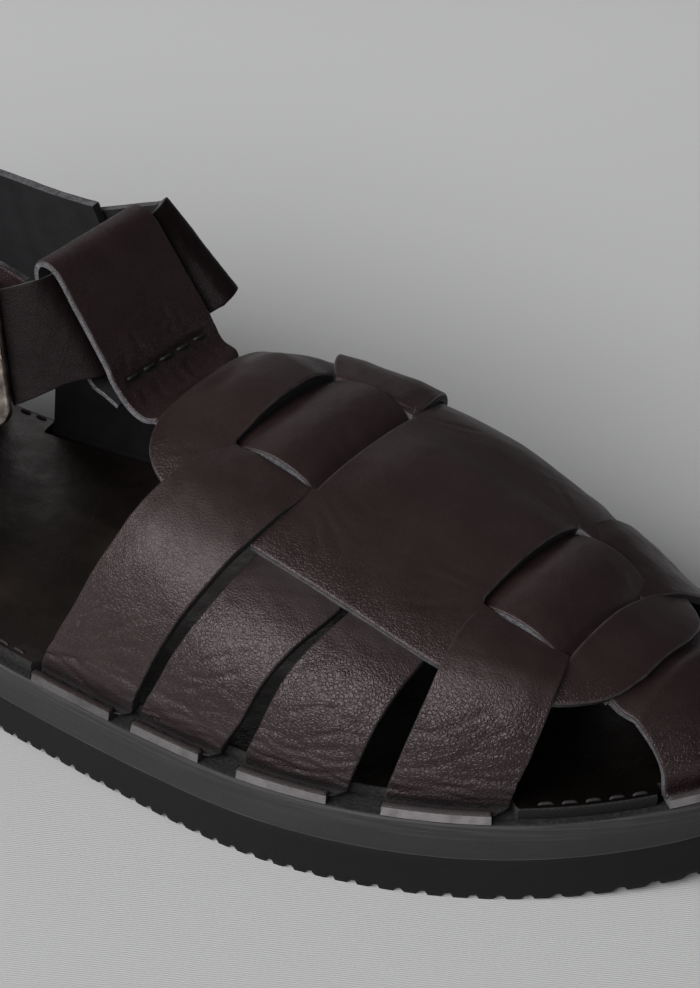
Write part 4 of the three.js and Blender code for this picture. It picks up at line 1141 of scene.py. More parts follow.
    def footbed(self, slots: Array) -> Piece:
        """The insole: out to its rim between the feet of the straps, and set back behind them.

        Args: slots, how far each outline point is set back.
        Returns: the piece.
        """
        share = np.array([0, 0.3, 0.7, 0.9, 1.0, 1.0, 1.0, 1.0])
        inset = np.array([0.15, 0.0, 0.0, 0.12, 0.45, 1.4, 3.0, 6.0])
        low, flat = self.level_at(FOOT_BOTTOM - 4 * self.overlap), self.level_at(FOOT_TOP)
        rings = []
        for s, d in zip(share, inset):
            p = OUTLINE.inset(slots + d)
            high = self.dished if s == 1 else flat
            rings.append(np.column_stack([p, low(*p.T) + (high(*p.T) - low(*p.T)) * s]))
        piece = self.slab("footbed_insole", np.stack(rings), share, 40, low, self.dished,
                          self.wardrobe.insole)
        piece.data.materials.append(self.wardrobe.insole_edge_and_gap_shade)
        side = np.zeros(len(piece.data.polygons), np.int32)
        side[: 4 * OUTLINE.count] = 1
        piece.data.polygons.foreach_set("material_index", side)
        return piece


# Upper

#: Face and back of a turned-out foot: inset from the sole's edge and height over the footbed
FOOT_FACE = columns("""
    3.38 -0.5
    3.2  -0.95
    2.8  -1.2
    2.4  -1.05
    2.15 -0.55
    1.95 -0.12
    1.7  0.04
    1.2  0.08
    0.7  0.04
    0.42 -0.08
    0.3  -0.35
""")
FOOT_BACK = columns("""
    5.6  -0.5
    5.6  -1.2
    5.5  -2.15
    5.0  -2.2
    4.4  -2.2
    3.8  -2.2
    3.2  -2.2
    2.4  -2.2
    1.5  -2.2
    0.8  -2.2
    0.3  -2.2
""")
#: How far each foot row is buffed, and the painted shade in the channel behind it
FOOT_BUFF = np.array([0, 0, 0, 0, 0, 0.3, 0.75, 0.9, 1, 1, 1])
FOOT_SHADE = np.array([1, 1, 1, 1, 0.95, 0.3, 0, 0, 0, 0, 0])
#: How far the foot is drawn in at its rear and front end, on the outer side
FOOT_TRIMS = (-0.4, 3.4)
#: Folds over a foot: height over it, depth and width
FOLD_ROWS = columns("""
    1.9  0.34 0.5
    3.3  0.30 0.5
    4.9  0.30 0.6
    6.8  0.22 0.6
    8.9  0.18 0.7
    11.6 0.12 0.8
    14.8 0.08 0.9
""").T


def with_foot(face: Array, back: Array, trims: tuple[float, float] = (0, 0)
              ) -> tuple[Array, Array]:
    """Adds the turned-out foot under the last row of a strap.

    Formula: each foot row is the strap's last row, moved along the sole's inward direction to
    the row's inset and set to its height over the footbed; its ends draw in by the trims.
    Args: face and back of the strap. trims, how much shorter the foot is at its first and its
        last column, in mm.
    Returns: face and back with the foot.
    """
    width = float(np.linalg.norm(face[-1, -1] - face[-1, 0]))
    share = lengths(face[-1:], 1)[0] / width

    def rows(table: Array) -> Array:
        """The foot rows of one table."""
        draw = ramp(np.arange(len(table[0])), -0.5, 3.5)[:, None] / width
        at = share * (1 - draw * sum(trims)) + draw * trims[0]
        root = np.stack([np.interp(at, share, face[-1, :, k]) for k in range(3)], -1)
        inward = OUTLINE.inward_at(root, WALL_INSET)
        plan = root[..., :2] + inward * (table[0] - WALL_INSET)[:, None, None]
        height = FOOT_TOP + spring(plan[..., 0]) + table[1][:, None]
        return np.concatenate([plan, height[..., None]], -1)

    return np.concatenate([face, rows(FOOT_FACE)]), np.concatenate([back, rows(FOOT_BACK)])


def footed(values: Array | float, foot: Array | float, shape: tuple[int, int]) -> Array:
    """A number for each point of a strap, and for its foot.

    Args: values, those of the strap. foot, one for each foot row, or one for all. shape, the
        strap's rows and columns without its foot.
    Returns: the numbers as (rows + foot rows, columns).
    """
    low = np.broadcast_to(np.reshape(foot, (-1, 1)), (len(FOOT_BUFF), shape[1]))
    return np.concatenate([np.broadcast_to(values, shape), low])


def over_foot(face: Array) -> Array:
    """Height of each point over the foot, along the strap."""
    along = lengths(face, 0)
    return along[-1:] - along


def foot_folds(u: Array, w: Array, seed: int, strength: float) -> Array:
    """Folds across a strap just over its foot.

    Formula: troughs that follow the foot, each wandering by two sines and broken up by two more,
    shallower the higher they lie; the leather swells round the lowest ones.
    Args: u, height over the foot in mm. w, place across the strap in mm. seed, which strap.
        strength, in shares of the common depth.
    Returns: height at each point in mm.
    """
    rng = np.random.default_rng(seed)
    relief = np.zeros(np.broadcast(u, w).shape)
    for place, depth, width in FOLD_ROWS:
        a, b, c, d = rng.uniform(0, 6.28, 4)
        wander = 0.8 * np.sin(w / 4.3 + a) + 0.35 * np.sin(w / 1.7 + b)
        broken = 0.55 + 0.45 * np.sin(w / 3.1 + c) * np.sin(w / 7.7 + d)
        relief -= strength * depth * broken * np.exp(-(((u - place - wander) / width) ** 2))
    swell = 0.55 * np.exp(-(((u - 3.6) / 3.2) ** 2))
    return relief + swell


@dataclass(frozen=True)
class SideStrap:
    """A strap of one side.

    rows are section angle, rear edge, front edge and lift. inner_lift lets the inner strap stand
    further out, grain is its pebble, seed its swells and folds, and one more number how pale its
    foot
    is: buffing, raised strap by strap towards the toe as a painted highlight.
    """

    name: str
    rows: Array
    inner_lift: float
    grain: float
    seed: int
    buff_and_highlight: float
    creases: tuple[Crease, ...] = ()
    inner_shift: float = 3.0

    def piece(self, side: Side) -> Hide:
        """The strap of a side as leather, from under the centre down to its foot."""
        v_rows, rears, fronts, lifts = self.rows
        v = np.linspace(v_rows[0], 1, 150)[:, None]
        share = edged(22, 0.5)[None]
        flip = side is Side.INNER
        shift = self.inner_shift * ramp(v, 0.3, 1) if flip else 0.0
        bump = self.inner_lift * np.maximum(0, np.sin(math.pi * (v - 0.1) / 0.7)) if flip else 0.0
        rear, front = smooth(v_rows, rears, v), smooth(v_rows, fronts, v)
        x = rear + (front - rear) * share + shift
        angle = side.value * np.maximum(v, 0.02) * np.ones_like(x)
        lift = (smooth(v_rows, lifts, v) + bump) * np.ones_like(x)
        face = at_normal(LAST.point, x, angle, lift)
        if flip:
            face = face[:, ::-1]
        back = face - grid_normals(face) * LEATHER
        height, across = over_foot(face), lengths(face, 1)
        folds = foot_folds(height, across, self.seed + (50 if flip else 0), 1.5)
        folds = folds * ramp(height, 0, 1.2)
        crown = ramp(across, 0, 6) * ramp(across[:, -1:] - across, 0, 6) - 0.6
        relief = folds + creased(height, across, self.creases)
        relief += 0.1 * ripple(face, 13, self.seed) + 0.035 * ripple(face, 3.5, self.seed + 1)
        relief += 0.5 * crown * ramp(height, 3, 14)
        # painted shade: near black in the channel over the foot and in the folds' troughs, darker
        # over the strap's lower part, and under the plate's edge
        painted_shade = np.maximum(0.95 * (1 - ramp(height, 0.5, 1.7)), 0.6 * ramp(-folds, 0.08, 0.4))
        painted_shade = np.maximum(painted_shade, 0.42 * (1 - ramp(height, 3, 10)))
        if v_rows[0] > 0.2:  # the strap starts under the plate, in its shadow
            painted_shade = np.maximum(painted_shade, 0.5 * (1 - ramp(v, 0.42, 0.62)))
        pebble = 0.16 + (self.grain - 0.16) * ramp(v, 0.42, 0.68)
        face, back = with_foot(face, back, FOOT_TRIMS[::-1] if flip else FOOT_TRIMS)
        hide = Hide(face, back=back, pebble=footed(pebble, 0.6, x.shape),
                    # buffed foot, paler strap by strap towards the toe as a painted highlight
                    buff=footed(0, FOOT_BUFF * self.buff_and_highlight, x.shape),
                    shade=footed(painted_shade, FOOT_SHADE, x.shape), buffed_end=True, round=0.4)
        return hide.shaped(footed(relief, 0, x.shape))

    def foot_span(self, side: Side) -> tuple[Array, float]:
        """The strap's foot on the sole's edge: its two ends in x, and its side."""
        shift = self.inner_shift if side is Side.INNER else 0.0
        return np.array([self.rows[1][-1], self.rows[2][-1]]) + shift, side.value


STRAPS = (
    SideStrap("a", columns("""
    0    170.5 183.5 -1.1
    0.14 170   184   -1.5
    0.168 168.6 185.4 -1.4
    0.178 168  186   -0.7
    0.187 167.7 186.3 0.15
    0.2  167.2 186.4 0.4
    0.23 165.6 186.2 0.7
    0.3  163   185.3 1.5
    0.4  160.5 183.7 2.05
    0.5  158.3 181.5 2.05
    0.6  156   179   1.5
    0.7  153   176   0.8
    0.8  150   173   0.3
    0.9  146   170   0
    1    142   167   0
    """), 0.5, 0.62, 11, 0.3, (
        Crease((12, 3), (22, 15), 0.12, 0.8, 1.5),
        Crease((9, 9), (17, 21), 0.14, 0.8, -1.0),
        Crease((17, 1), (25, 9), 0.08, 0.7, 0.8),
        Crease((20, 12), (27, 21), 0.08, 0.7, 1.0),
    )),
    SideStrap("b", columns("""
    0.26 185   206   -2.05
    0.42 184.2 205.2 -2.05
    0.5  183   203.8 -1.6
    0.6  181.3 201.2 -0.7
    0.7  178.8 198.6 -0.2
    0.8  176   196.3 0
    0.9  173   194   0
    1    169.5 190   0
    """), 0, 0.75, 23, 0.6, (
        Crease((14, 4), (21, 16), 0.14, 0.7, 1.2),
        Crease((18, 6), (26, 17), 0.1, 0.7, -0.8),
        Crease((10, 2), (16, 12), 0.12, 0.7, 0.8),
        Crease((23, 3), (29, 12), 0.07, 0.6, 0.8),
    )),
    SideStrap("c", columns("""
    0.26 208   225   -2.05
    0.42 207   224.6 -2.05
    0.5  205.6 224   -1.6
    0.6  203.4 222.9 -0.7
    0.7  201.4 221.8 -0.2
    0.8  199.8 220.6 0
    0.9  198   219.3 0
    1    195.5 217.5 0
    """), 0, 0.95, 37, 0.75, (
        Crease((8, 5), (15, 18), 0.12, 0.6, 1.0),
        Crease((12, 2), (18, 12), 0.1, 0.6, -0.6),
        Crease((16, 9), (22, 19), 0.08, 0.6, 0.8),
    )),
    SideStrap("d", columns("""
    0    230.4 242.4 -1.1
    0.16 230   243   -1.5
    0.225 228.2 244.6 -1.4
    0.238 227.8 245.4 -0.7
    0.249 227.5 245.9 0.15
    0.268 227.3 246.2 0.45
    0.285 227.2 246.4 0.7
    0.32 227.2 246.8 1.25
    0.4  227.4 247.4 2.1
    0.5  227.8 248   2.05
    0.6  228   248.3 1.5
    0.7  227.7 248.3 0.8
    0.8  227   248   0.3
    0.9  226   247   0
    1    224.5 246   0
    """), -1, 1.05, 51, 1.0, (
        Crease((7, 3), (14, 15), 0.16, 0.8, 1.0),
        Crease((11, 10), (18, 19), 0.14, 0.8, -0.8),
        Crease((15, 2), (22, 13), 0.12, 0.8, 0.8),
        Crease((9, 14), (16, 6), 0.12, 0.7, 0.6),
        Crease((19, 9), (26, 18), 0.08, 0.7, 0.8),
    )),
)

#: The saddle plate: x, and half its width over the ridge line
PLATE_ROWS = columns("""
    149   18
    150.5 23
    153.5 27.5
    159   31.2
    168   33
    187   33.8
    207   33.6
    227   32.2
    240   28.4
    248   24.4
    254   19
    257   14
    258.3 8
""")
PLATE_REAR, PLATE_FRONT = 149.0, 258.3
#: The plate's windows: rear and front edge, half their width and their corners' radius
WINDOWS = ((167.0, 187.0), (227.0, 246.0))
WINDOW_HALF = 17.0
WINDOW_ROUND = 0.8

#: The centre strap: x, its middle's y, and the lift of its face over the plate's
CENTRE_ROWS = columns("""
    144.5 2   -3.6
    149   2   -2.05
    166   2   -2.05
    169   2   -0.6
    172.5 2   0.9
    177   2   1.75
    181   2   1.35
    184.5 2   0.2
    188   2   -2.05
    207   2   -2.05
    226   2   -2.05
    229   2   -0.5
    232   2   0.95
    236.5 2.2 1.75
    240   2.4 1.35
    243.5 2.6 0.1
    247   2.8 -2.05
    256   3.6 -2.05
""")
CENTRE_HALF = 16.6
#: The toe end of the centre strap: y of its middle, where it starts and where it comes out
TOE_Y, TOE_FROM, TOE_OUT = 4.6, 254.0, 262.0

#: The loop round the ankle strap: share of the strap's width from its top edge, and way out
BEHIND = -(LEATHER + GAP + LEATHER) - 0.4
BEFORE = GAP + LEATHER + 0.35
LOOP_ROWS = np.array([
    [1.33, -1.1], [1.2, -2.9], [1.09, BEHIND + 0.5], [0.97, BEHIND], [0.65, BEHIND],
    [0.3, BEHIND], [0.04, BEHIND], [-0.07, -4.1], [-0.135, -2.6], [-0.155, -1.1],
    [-0.135, 0.4], [-0.07, 1.95], [0.04, BEFORE], [0.35, BEFORE], [0.7, BEFORE],
    [0.98, BEFORE - 0.1], [1.09, BEFORE - 0.5],
])
#: The loop's neck: x, and z at its outer and its inner edge
NECK_ROWS = ((139.2, 63.6, 64.9), (142.8, 62.2, 63.6))
#: The loop's two edges in y, and the ankle strap inside it: x and z of its top edge, and x at
#: either side and z of its bottom edge
LOOP_SIDES = (-13.6, 17.6)
LOOP_TOP = (119.0, 87.4)
LOOP_BOTTOM = (132.1, 133.8, 68.4)
#: The loop's leather is pared thinner than the rest
LOOP_LEATHER = 1.4
#: Where the loop's seam lies along it, as a share of its length
SEAM_AT = 0.69
#: Rows of the loop's fine curve and of its grid, a middle column, and columns that stay unsewn
LOOP_FINE, LOOP_GRID, LOOP_MIDDLE, LOOP_UNSEWN = 1600, 230, 30, 8

#: Puckers at the loop's seam: way along from the seam, and way across
LOOP_CREASES = (
    Crease((-1.0, 4.0), (-8.0, 6.5), 0.28, 0.8, 0.6),
    Crease((-1.0, 9.0), (-10.0, 9.5), 0.30, 0.9, -0.6),
    Crease((-1.2, 13.5), (-9.0, 16.0), 0.26, 0.8, 0.8),
    Crease((-1.0, 18.0), (-11.0, 20.5), 0.30, 0.9, -0.7),
    Crease((-1.0, 23.0), (-8.5, 24.0), 0.24, 0.8, 0.5),
    Crease((-4.5, 3.0), (-5.0, 12.0), 0.2, 0.7, 0.8),
    Crease((-6.0, 13.0), (-5.5, 24.0), 0.2, 0.7, -0.8),
    Crease((-9.0, 7.0), (-9.5, 18.0), 0.14, 0.8, 0.7),
    Crease((1.5, 5.0), (7.0, 3.5), 0.2, 0.8, 0.5),
    Crease((1.5, 10.0), (8.5, 9.0), 0.22, 0.8, -0.5),
    Crease((1.5, 15.0), (8.0, 15.5), 0.2, 0.8, 0.5),
    Crease((1.5, 20.0), (9.0, 19.0), 0.22, 0.8, -0.5),
    Crease((1.5, 26.0), (7.0, 26.5), 0.18, 0.8, 0.4),
    Crease((5.0, 2.0), (5.5, 12.0), 0.14, 0.7, 0.6),
    Crease((6.5, 14.0), (6.0, 26.0), 0.14, 0.7, -0.6),
)
#: Folds at the corners of the plate's windows: x, and y from the ridge
PLATE_CREASES = (
    Crease((188.5, -19.0), (201.0, -27.0), 0.10, 0.7, 0.6),
    Crease((188.5, -16.0), (203.0, -21.5), 0.09, 0.7, -0.6),
    Crease((188.5, -13.0), (200.0, -16.0), 0.07, 0.7, 0.5),
    Crease((190.0, -22.5), (198.0, -31.0), 0.09, 0.7, 0.5),
    Crease((188.5, 18.5), (198.0, 27.0), 0.10, 0.7, -0.6),
    Crease((188.5, 16.0), (201.0, 22.0), 0.09, 0.7, 0.6),
    Crease((225.5, -18.5), (215.0, -27.5), 0.11, 0.7, 0.6),
    Crease((225.5, -16.0), (212.0, -21.0), 0.09, 0.7, -0.6),
    Crease((225.5, -13.0), (214.0, -15.0), 0.07, 0.7, 0.5),
    Crease((225.5, 18.5), (215.0, 26.0), 0.10, 0.7, -0.6),
    Crease((225.5, 15.0), (213.0, 20.0), 0.08, 0.7, 0.6),
    Crease((165.5, -19.0), (156.0, -26.0), 0.08, 0.7, 0.6),
    Crease((165.5, 19.0), (155.0, 26.0), 0.08, 0.7, -0.6),
)


@dataclass
class Upper:
    """Side straps, saddle plate, centre strap, toe piece and ankle loop."""

    wardrobe: Wardrobe

    def side_straps(self) -> list[Piece]:
        """All eight side straps."""
        made = []
        for strap in STRAPS:
            for side in Side:
                name = f"strap_{strap.name}_{side.name.lower()}"
                made.append(strap.piece(side).build(name, self.wardrobe.leather))
        return made

    @staticmethod
    def window_gap(x: Array, y: Array, rear: float, front: float) -> Array:
        """Signed distance to a window with round corners: below 0 inside it."""
        radius = WINDOW_ROUND
        dx = np.abs(x - (rear + front) / 2) - (front - rear) / 2 + radius
        dy = np.abs(y) - WINDOW_HALF + radius
        outside = np.hypot(np.maximum(dx, 0), np.maximum(dy, 0))
        return outside + np.minimum(np.maximum(dx, dy), 0) - radius

    @staticmethod
    def round_corner(x: Array, y: Array, edge: float, sx: int, sy: int) -> tuple[Array, Array]:
        """Draws grid lines round a window's corner.

        Formula: about the corner's centre, a point keeps its direction, and its distance goes
        from the square's to the circle's, fading out at four radii.
        Args: x and y, the grid. edge, the window's rear or front one. sx and sy, the corner's
            side in x and in y.
        Returns: the moved x and y.
        """
        radius = WINDOW_ROUND
        px, py = edge - sx * radius, sy * WINDOW_HALF - sy * radius
        qx, qy = (x - px) * sx / radius, (y - py) * sy / radius
        square, circle = np.maximum(qx, qy), np.maximum(np.hypot(qx, qy), 1e-6)
        near = (qx > 0) & (qy > 0) & (square > 0.999)
        scale = 1 + (square / circle - 1) * (1 - ramp(square, 1, 4))
        scale = np.where(near, scale, 1)
        return px + (x - px) * scale, py + (y - py) * scale

    def saddle(self) -> Piece:
        """The saddle plate: an oval of leather with two windows across it.

        Formula: grid lines follow the windows' edges, and the grid lies on the last. Between and
        behind the windows the plate bulges over the ridge.
        """
        stops = [PLATE_REAR, *WINDOWS[0], *WINDOWS[1], PLATE_FRONT]
        lines = [a + (b - a) * edged(b - a, 0.6) for a, b in zip(stops, stops[1:])]
        x = np.unique(np.round(np.concatenate(lines), 6))[:, None]
        mid, flank = -1 + 2 * edged(2 * WINDOW_HALF, 0.6), edged(15, 0.6)
        part = np.concatenate([-1 - flank[::-1], mid, 1 + flank])
        part = np.unique(np.round(part, 6))[None]
        half = smooth(*PLATE_ROWS, x)
        knot = np.minimum(WINDOW_HALF, 0.55 * half)
        y = np.where(np.abs(part) <= 1, part * knot,
                     np.sign(part) * (knot + (half - knot) * (np.abs(part) - 1)))
        x = x + 0 * y
        cell_x, cell_y = (x[:-1, :-1] + x[1:, 1:]) / 2, (y[:-1, :-1] + y[1:, 1:]) / 2
        kept = np.ones(cell_x.shape, bool)
        slope = np.gradient(half[:, 0], x[:, 0])[:, None]
        rim = (half - np.abs(y)) / np.sqrt(1 + slope**2)
        rim = np.minimum(rim, np.minimum(x - PLATE_REAR, PLATE_FRONT - x))
        for rear, front in WINDOWS:
            kept &= ~((cell_x > rear) & (cell_x < front) & (np.abs(cell_y) < WINDOW_HALF))
            for edge, sx in ((rear, -1), (front, 1)):
                for sy in (-1, 1):
                    x, y = self.round_corner(x, y, edge, sx, sy)
        for rear, front in WINDOWS:
            rim = np.minimum(rim, np.maximum(self.window_gap(x, y, rear, front), 0))
        face = LAST.over(x, y + LAST.ridge(x))
        relief = 0.09 * ripple(face, 15, 3) + 0.03 * ripple(face, 4, 4)
        relief += creased(x, y, PLATE_CREASES)
        band = ramp(x, 150, 158) * (1 - ramp(x, 167.1, 172))
        plate = ramp(x, 185, 197) * (1 - ramp(x, 227.1, 232))
        middle = (1 - ramp(-y, 1, 17)) * (1 - ramp(y, 8, 18))
        relief += (2.0 * band + 1.3 * plate) * middle
        pebble = 0.14 + 0.4 * ramp(np.abs(y) / np.maximum(half, 1), 0.62, 1.0)
        hide = Hide(face, kept=kept, rim=rim, pebble=pebble, round=0.5)
        return hide.shaped(relief).build("saddle_plate", self.wardrobe.leather)

    def centre(self) -> Piece:
        """The centre strap: under the plate, and over the side straps in its windows."""
        stops, middles, lifts = CENTRE_ROWS
        x = np.linspace(stops[0], stops[-1], 190)[:, None]
        side = 2 * edged(2 * CENTRE_HALF, 0.6)[None] - 1
        y = smooth(stops, middles, x) + CENTRE_HALF * side
        face = at_normal(LAST.over, x + 0 * y, y, smooth(stops, lifts, x) + 0 * y)
        relief = 0.07 * ripple(face, 12, 7) + 0.03 * ripple(face, 4, 8)
        hide = Hide(face, pebble=0.16).shaped(relief)
        return hide.build("centre_strap", self.wardrobe.leather)

    def toe(self) -> Piece:
        """The centre strap's toe end, from under the strap down to the toe's rim."""
        f = np.linspace(0, 1, 90)[:, None] ** 0.8
        y = TOE_Y + CENTRE_HALF * (2 * edged(2 * CENTRE_HALF, 0.6)[None] - 1) + 0 * f
        rim = OUTLINE.toe(y, WALL_INSET)
        x = TOE_FROM + (rim - TOE_FROM) * f
        face = LAST.over(x, y)
        face[..., 2] += UNDER * ramp(TOE_OUT - x, 0, 5)
        face[-1, :, 2] = FOOT_TOP + spring(x[-1])
        back = face - grid_normals(face) * LEATHER
        height = over_foot(face)
        relief = (foot_folds(height, lengths(face, 1), 71, 0.7) * ramp(height, 0, 1.2)
                  + 0.08 * ripple(face, 12, 9))
        face, back = with_foot(face, back)
        hide = Hide(face, back=back, pebble=footed(0.25 + 0.5 * ramp(f, 0.5, 0.9), 0.6, y.shape),
                    buff=footed(0, FOOT_BUFF, y.shape), buffed_end=True)
        hide.shaped(footed(relief, 0, y.shape))
        return hide.build("toe_strap", self.wardrobe.leather)

    @staticmethod
    def loop_surface() -> Array:
        """The loop's face.

        Formula: a centripetal curve through the loop's rows beside the ankle strap, the neck
        and the last's own surface, read at even steps of its length.
        """
        share = edged(31, 0.5)
        side = LOOP_SIDES[0] + (LOOP_SIDES[1] - LOOP_SIDES[0]) * share
        foot = LOOP_BOTTOM[0] + (LOOP_BOTTOM[1] - LOOP_BOTTOM[0]) * share
        flat = 0 * share
        top = np.column_stack([LOOP_TOP[0] + flat, side, LOOP_TOP[1] + flat])
        down = np.column_stack([foot, side, LOOP_BOTTOM[2] + flat]) - top
        out = unit(np.column_stack([-down[:, 2], flat, down[:, 0]]))
        round_ = top + LOOP_ROWS[:, 0, None, None] * down + LOOP_ROWS[:, 1, None, None] * out
        neck = [np.column_stack([x + flat, side, low + (high - low) * share])
                for x, low, high in NECK_ROWS]
        under = [at_normal(LAST.over, x + flat, side, lift + flat)
                 for x, _, lift in CENTRE_ROWS.T[:3]]
        knots = np.concatenate([round_, np.stack(neck), np.stack(under)])
        fine = through(knots, np.linspace(0, len(knots) - 1, LOOP_FINE))
        length = lengths(fine[:, len(side) // 2], 0)
        at = np.interp(np.linspace(0, length[-1], LOOP_GRID), length, np.arange(float(LOOP_FINE)))
        return between(fine, at[:, None])

    def loop(self) -> list[Piece]:
        """The ankle loop with the puckers at its seam, and the seam's stitches."""
        face = self.loop_surface()
        along, across = lengths(face, 0), lengths(face, 1)
        seam = SEAM_AT * along[-1:]
        relief = 0.09 * ripple(face, 12, 13) + 0.03 * ripple(face, 3.5, 14)
        relief += 0.85 * creased(along - seam, across, LOOP_CREASES)
        sewn = ramp(across, 2, 4) * ramp(across[:, -1:] - across, 2, 4)
        groove = np.exp(-(((along - seam) / 1.1) ** 2)) * sewn
        relief -= 0.65 * groove
        pebble = 0.3 + 0.35 * np.exp(-(((along - seam) / 9) ** 2))
        # painted shade along the seam's groove
        hide = Hide(face.copy(), thickness=LOOP_LEATHER, pebble=pebble, shade=0.75 * groove,
                    round=0.4).shaped(relief)
        loop = hide.build("ankle_loop", self.wardrobe.leather)
        row = int(np.argmin(np.abs(along[:, LOOP_MIDDLE] - seam[0, LOOP_MIDDLE])))
        inner = slice(LOOP_UNSEWN, -LOOP_UNSEWN)
        up = grid_normals(face)[row, inner]
        thread = stitches("loop_seam", face[row, inner] - 0.3 * up, up, pitch=5.0, share=0.76,
                          radius=0.42, material=self.wardrobe.dark_thread, sink=0.9)
        return [loop, thread]


# Heel quarter, ankle strap and buckle

#: The heel quarter from its outer front end round the heel to its inner one: side, x of the
#: foot, and the points halfway up and at the top
QUARTER_ROWS = columns("""
    -1 108  109.8 -21.6 60   114  -14.6 84.6
    -1 102  104   -24.6 58.8 107.4 -17.9 88.4
    -1 94   95    -27.6 57.5 97   -22.9 86.8
    -1 81.5 83    -30.3 56.5 84   -27   83.4
    -1 67   67    -31.8 56   68   -29.3 81.4
    -1 46   46    -31.4 56   48   -28.8 81
    -1 24   22.5  -27.3 56.5 26   -24.4 83
    -1 9    7.2   -16.2 57   11   -14   86
    0  0    1.7   -1.5  57.5 5.5  -1.5  87.5
    1  9    7.2   13.2  57   11   11    86
    1  24   22.5  24.3  56.5 26   21.8  83
    1  46   46    30    56   48   27.6  80.6
    1  67   67    31    55.5 68   29.2  79.6
    1  83   83    30.8  55   84   28.4  79.9
    1  98   96    30.2  56   94   27.9  80.4
    1  114  105   30.2  58   98   27.7  80.8
""").T
#: The side openings: rear edge, front edge on either side, and top
OPENING_REAR, OPENING_FRONT, OPENING_INNER_FRONT, OPENING_TOP = 67.0, 81.5, 83.0, 51.0


class Quarter:
    """The heel quarter's face: parabolas up from its foot through a middle line to the top.

    A place on it is a row of the table, which may be a fraction, and a share of the height.
    """

    middle = 0.6
    heel_row = 8
    heel_y = -1.5

    def __init__(self) -> None:
        """Works out the three guide curves' knots."""
        back = float(OUTLINE.inset(WALL_INSET)[:, 0].min())
        side, foot = QUARTER_ROWS[:, 0], QUARTER_ROWS[:, 1]
        x = np.where(side == 0, back, np.maximum(foot, back + 0.2))
        outer, inner = OUTLINE.sides(x, WALL_INSET)
        y = np.where(side == 0, self.heel_y, np.where(side < 0, outer, inner))
        self.foot = np.column_stack([x, y, np.full(len(x), FOOT_BOTTOM)])
        self.mid = QUARTER_ROWS[:, 2:5]
        self.top = QUARTER_ROWS[:, 5:8]

    def point(self, row: Array, h: Array) -> Array:
        """A point at a row of the table and a height share."""
        row, h = np.broadcast_arrays(np.asarray(row, float), np.asarray(h, float))
        flat = row.ravel()
        foot, mid, top = (through(k, flat).reshape(row.shape + (3,))
                          for k in (self.foot, self.mid, self.top))
        m, h = self.middle, h[..., None]
        return (foot * (h - m) * (h - 1) / m + mid * h * (1 - h) / (m * (1 - m))
                + top * h * (h - m) / (1 - m))

    def out(self, row: Array, h: Array, lift: Array) -> Array:
        """Points moved out along the face's normal by lift."""
        return at_normal(self.point, row, h, -np.asarray(lift))

    def row_at(self, x: Array, h: Array, side: Side) -> Array:
        """The row whose point at height h has the given x, on one side.

        Formula: rows found at eleven heights, and in a straight line between these.
        """
        last = len(QUARTER_ROWS) - 1
        rows = (np.linspace(0, self.heel_row, 161) if side is Side.OUTER
                else np.linspace(self.heel_row, last, 141))
        table = self.point(rows[:, None], np.linspace(0, 1, 11)[None])[..., 0]
        level = np.clip(h, 0, 1) * 10
        low = np.clip(np.floor(level).astype(int), 0, 9)
        t = level - low
        order = slice(None, None, -1) if side is Side.OUTER else slice(None)
        at = np.array([np.interp(x, column[order], rows[order]) for column in table.T])
        return at[low] * (1 - t) + at[low + 1] * t

    def height_at(self, row: Array, z: float) -> Array:
        """The height share at which a row reaches z: the root of its parabola."""
        foot, mid, top = (through(k, np.ravel(row))[:, 2].reshape(np.shape(row))
                          for k in (self.foot, self.mid, self.top))
        m = self.middle
        a = foot / m - mid / (m * (1 - m)) + top / (1 - m)
        b = -foot * (m + 1) / m + mid / (m * (1 - m)) - top * m / (1 - m)
        c = foot - z
        return np.where(np.abs(a) < 1e-6, -c / b,
                        (-b + np.sqrt(np.maximum(b**2 - 4 * a * c, 0))) / (2 * a + 1e-9))


QUARTER = Quarter()


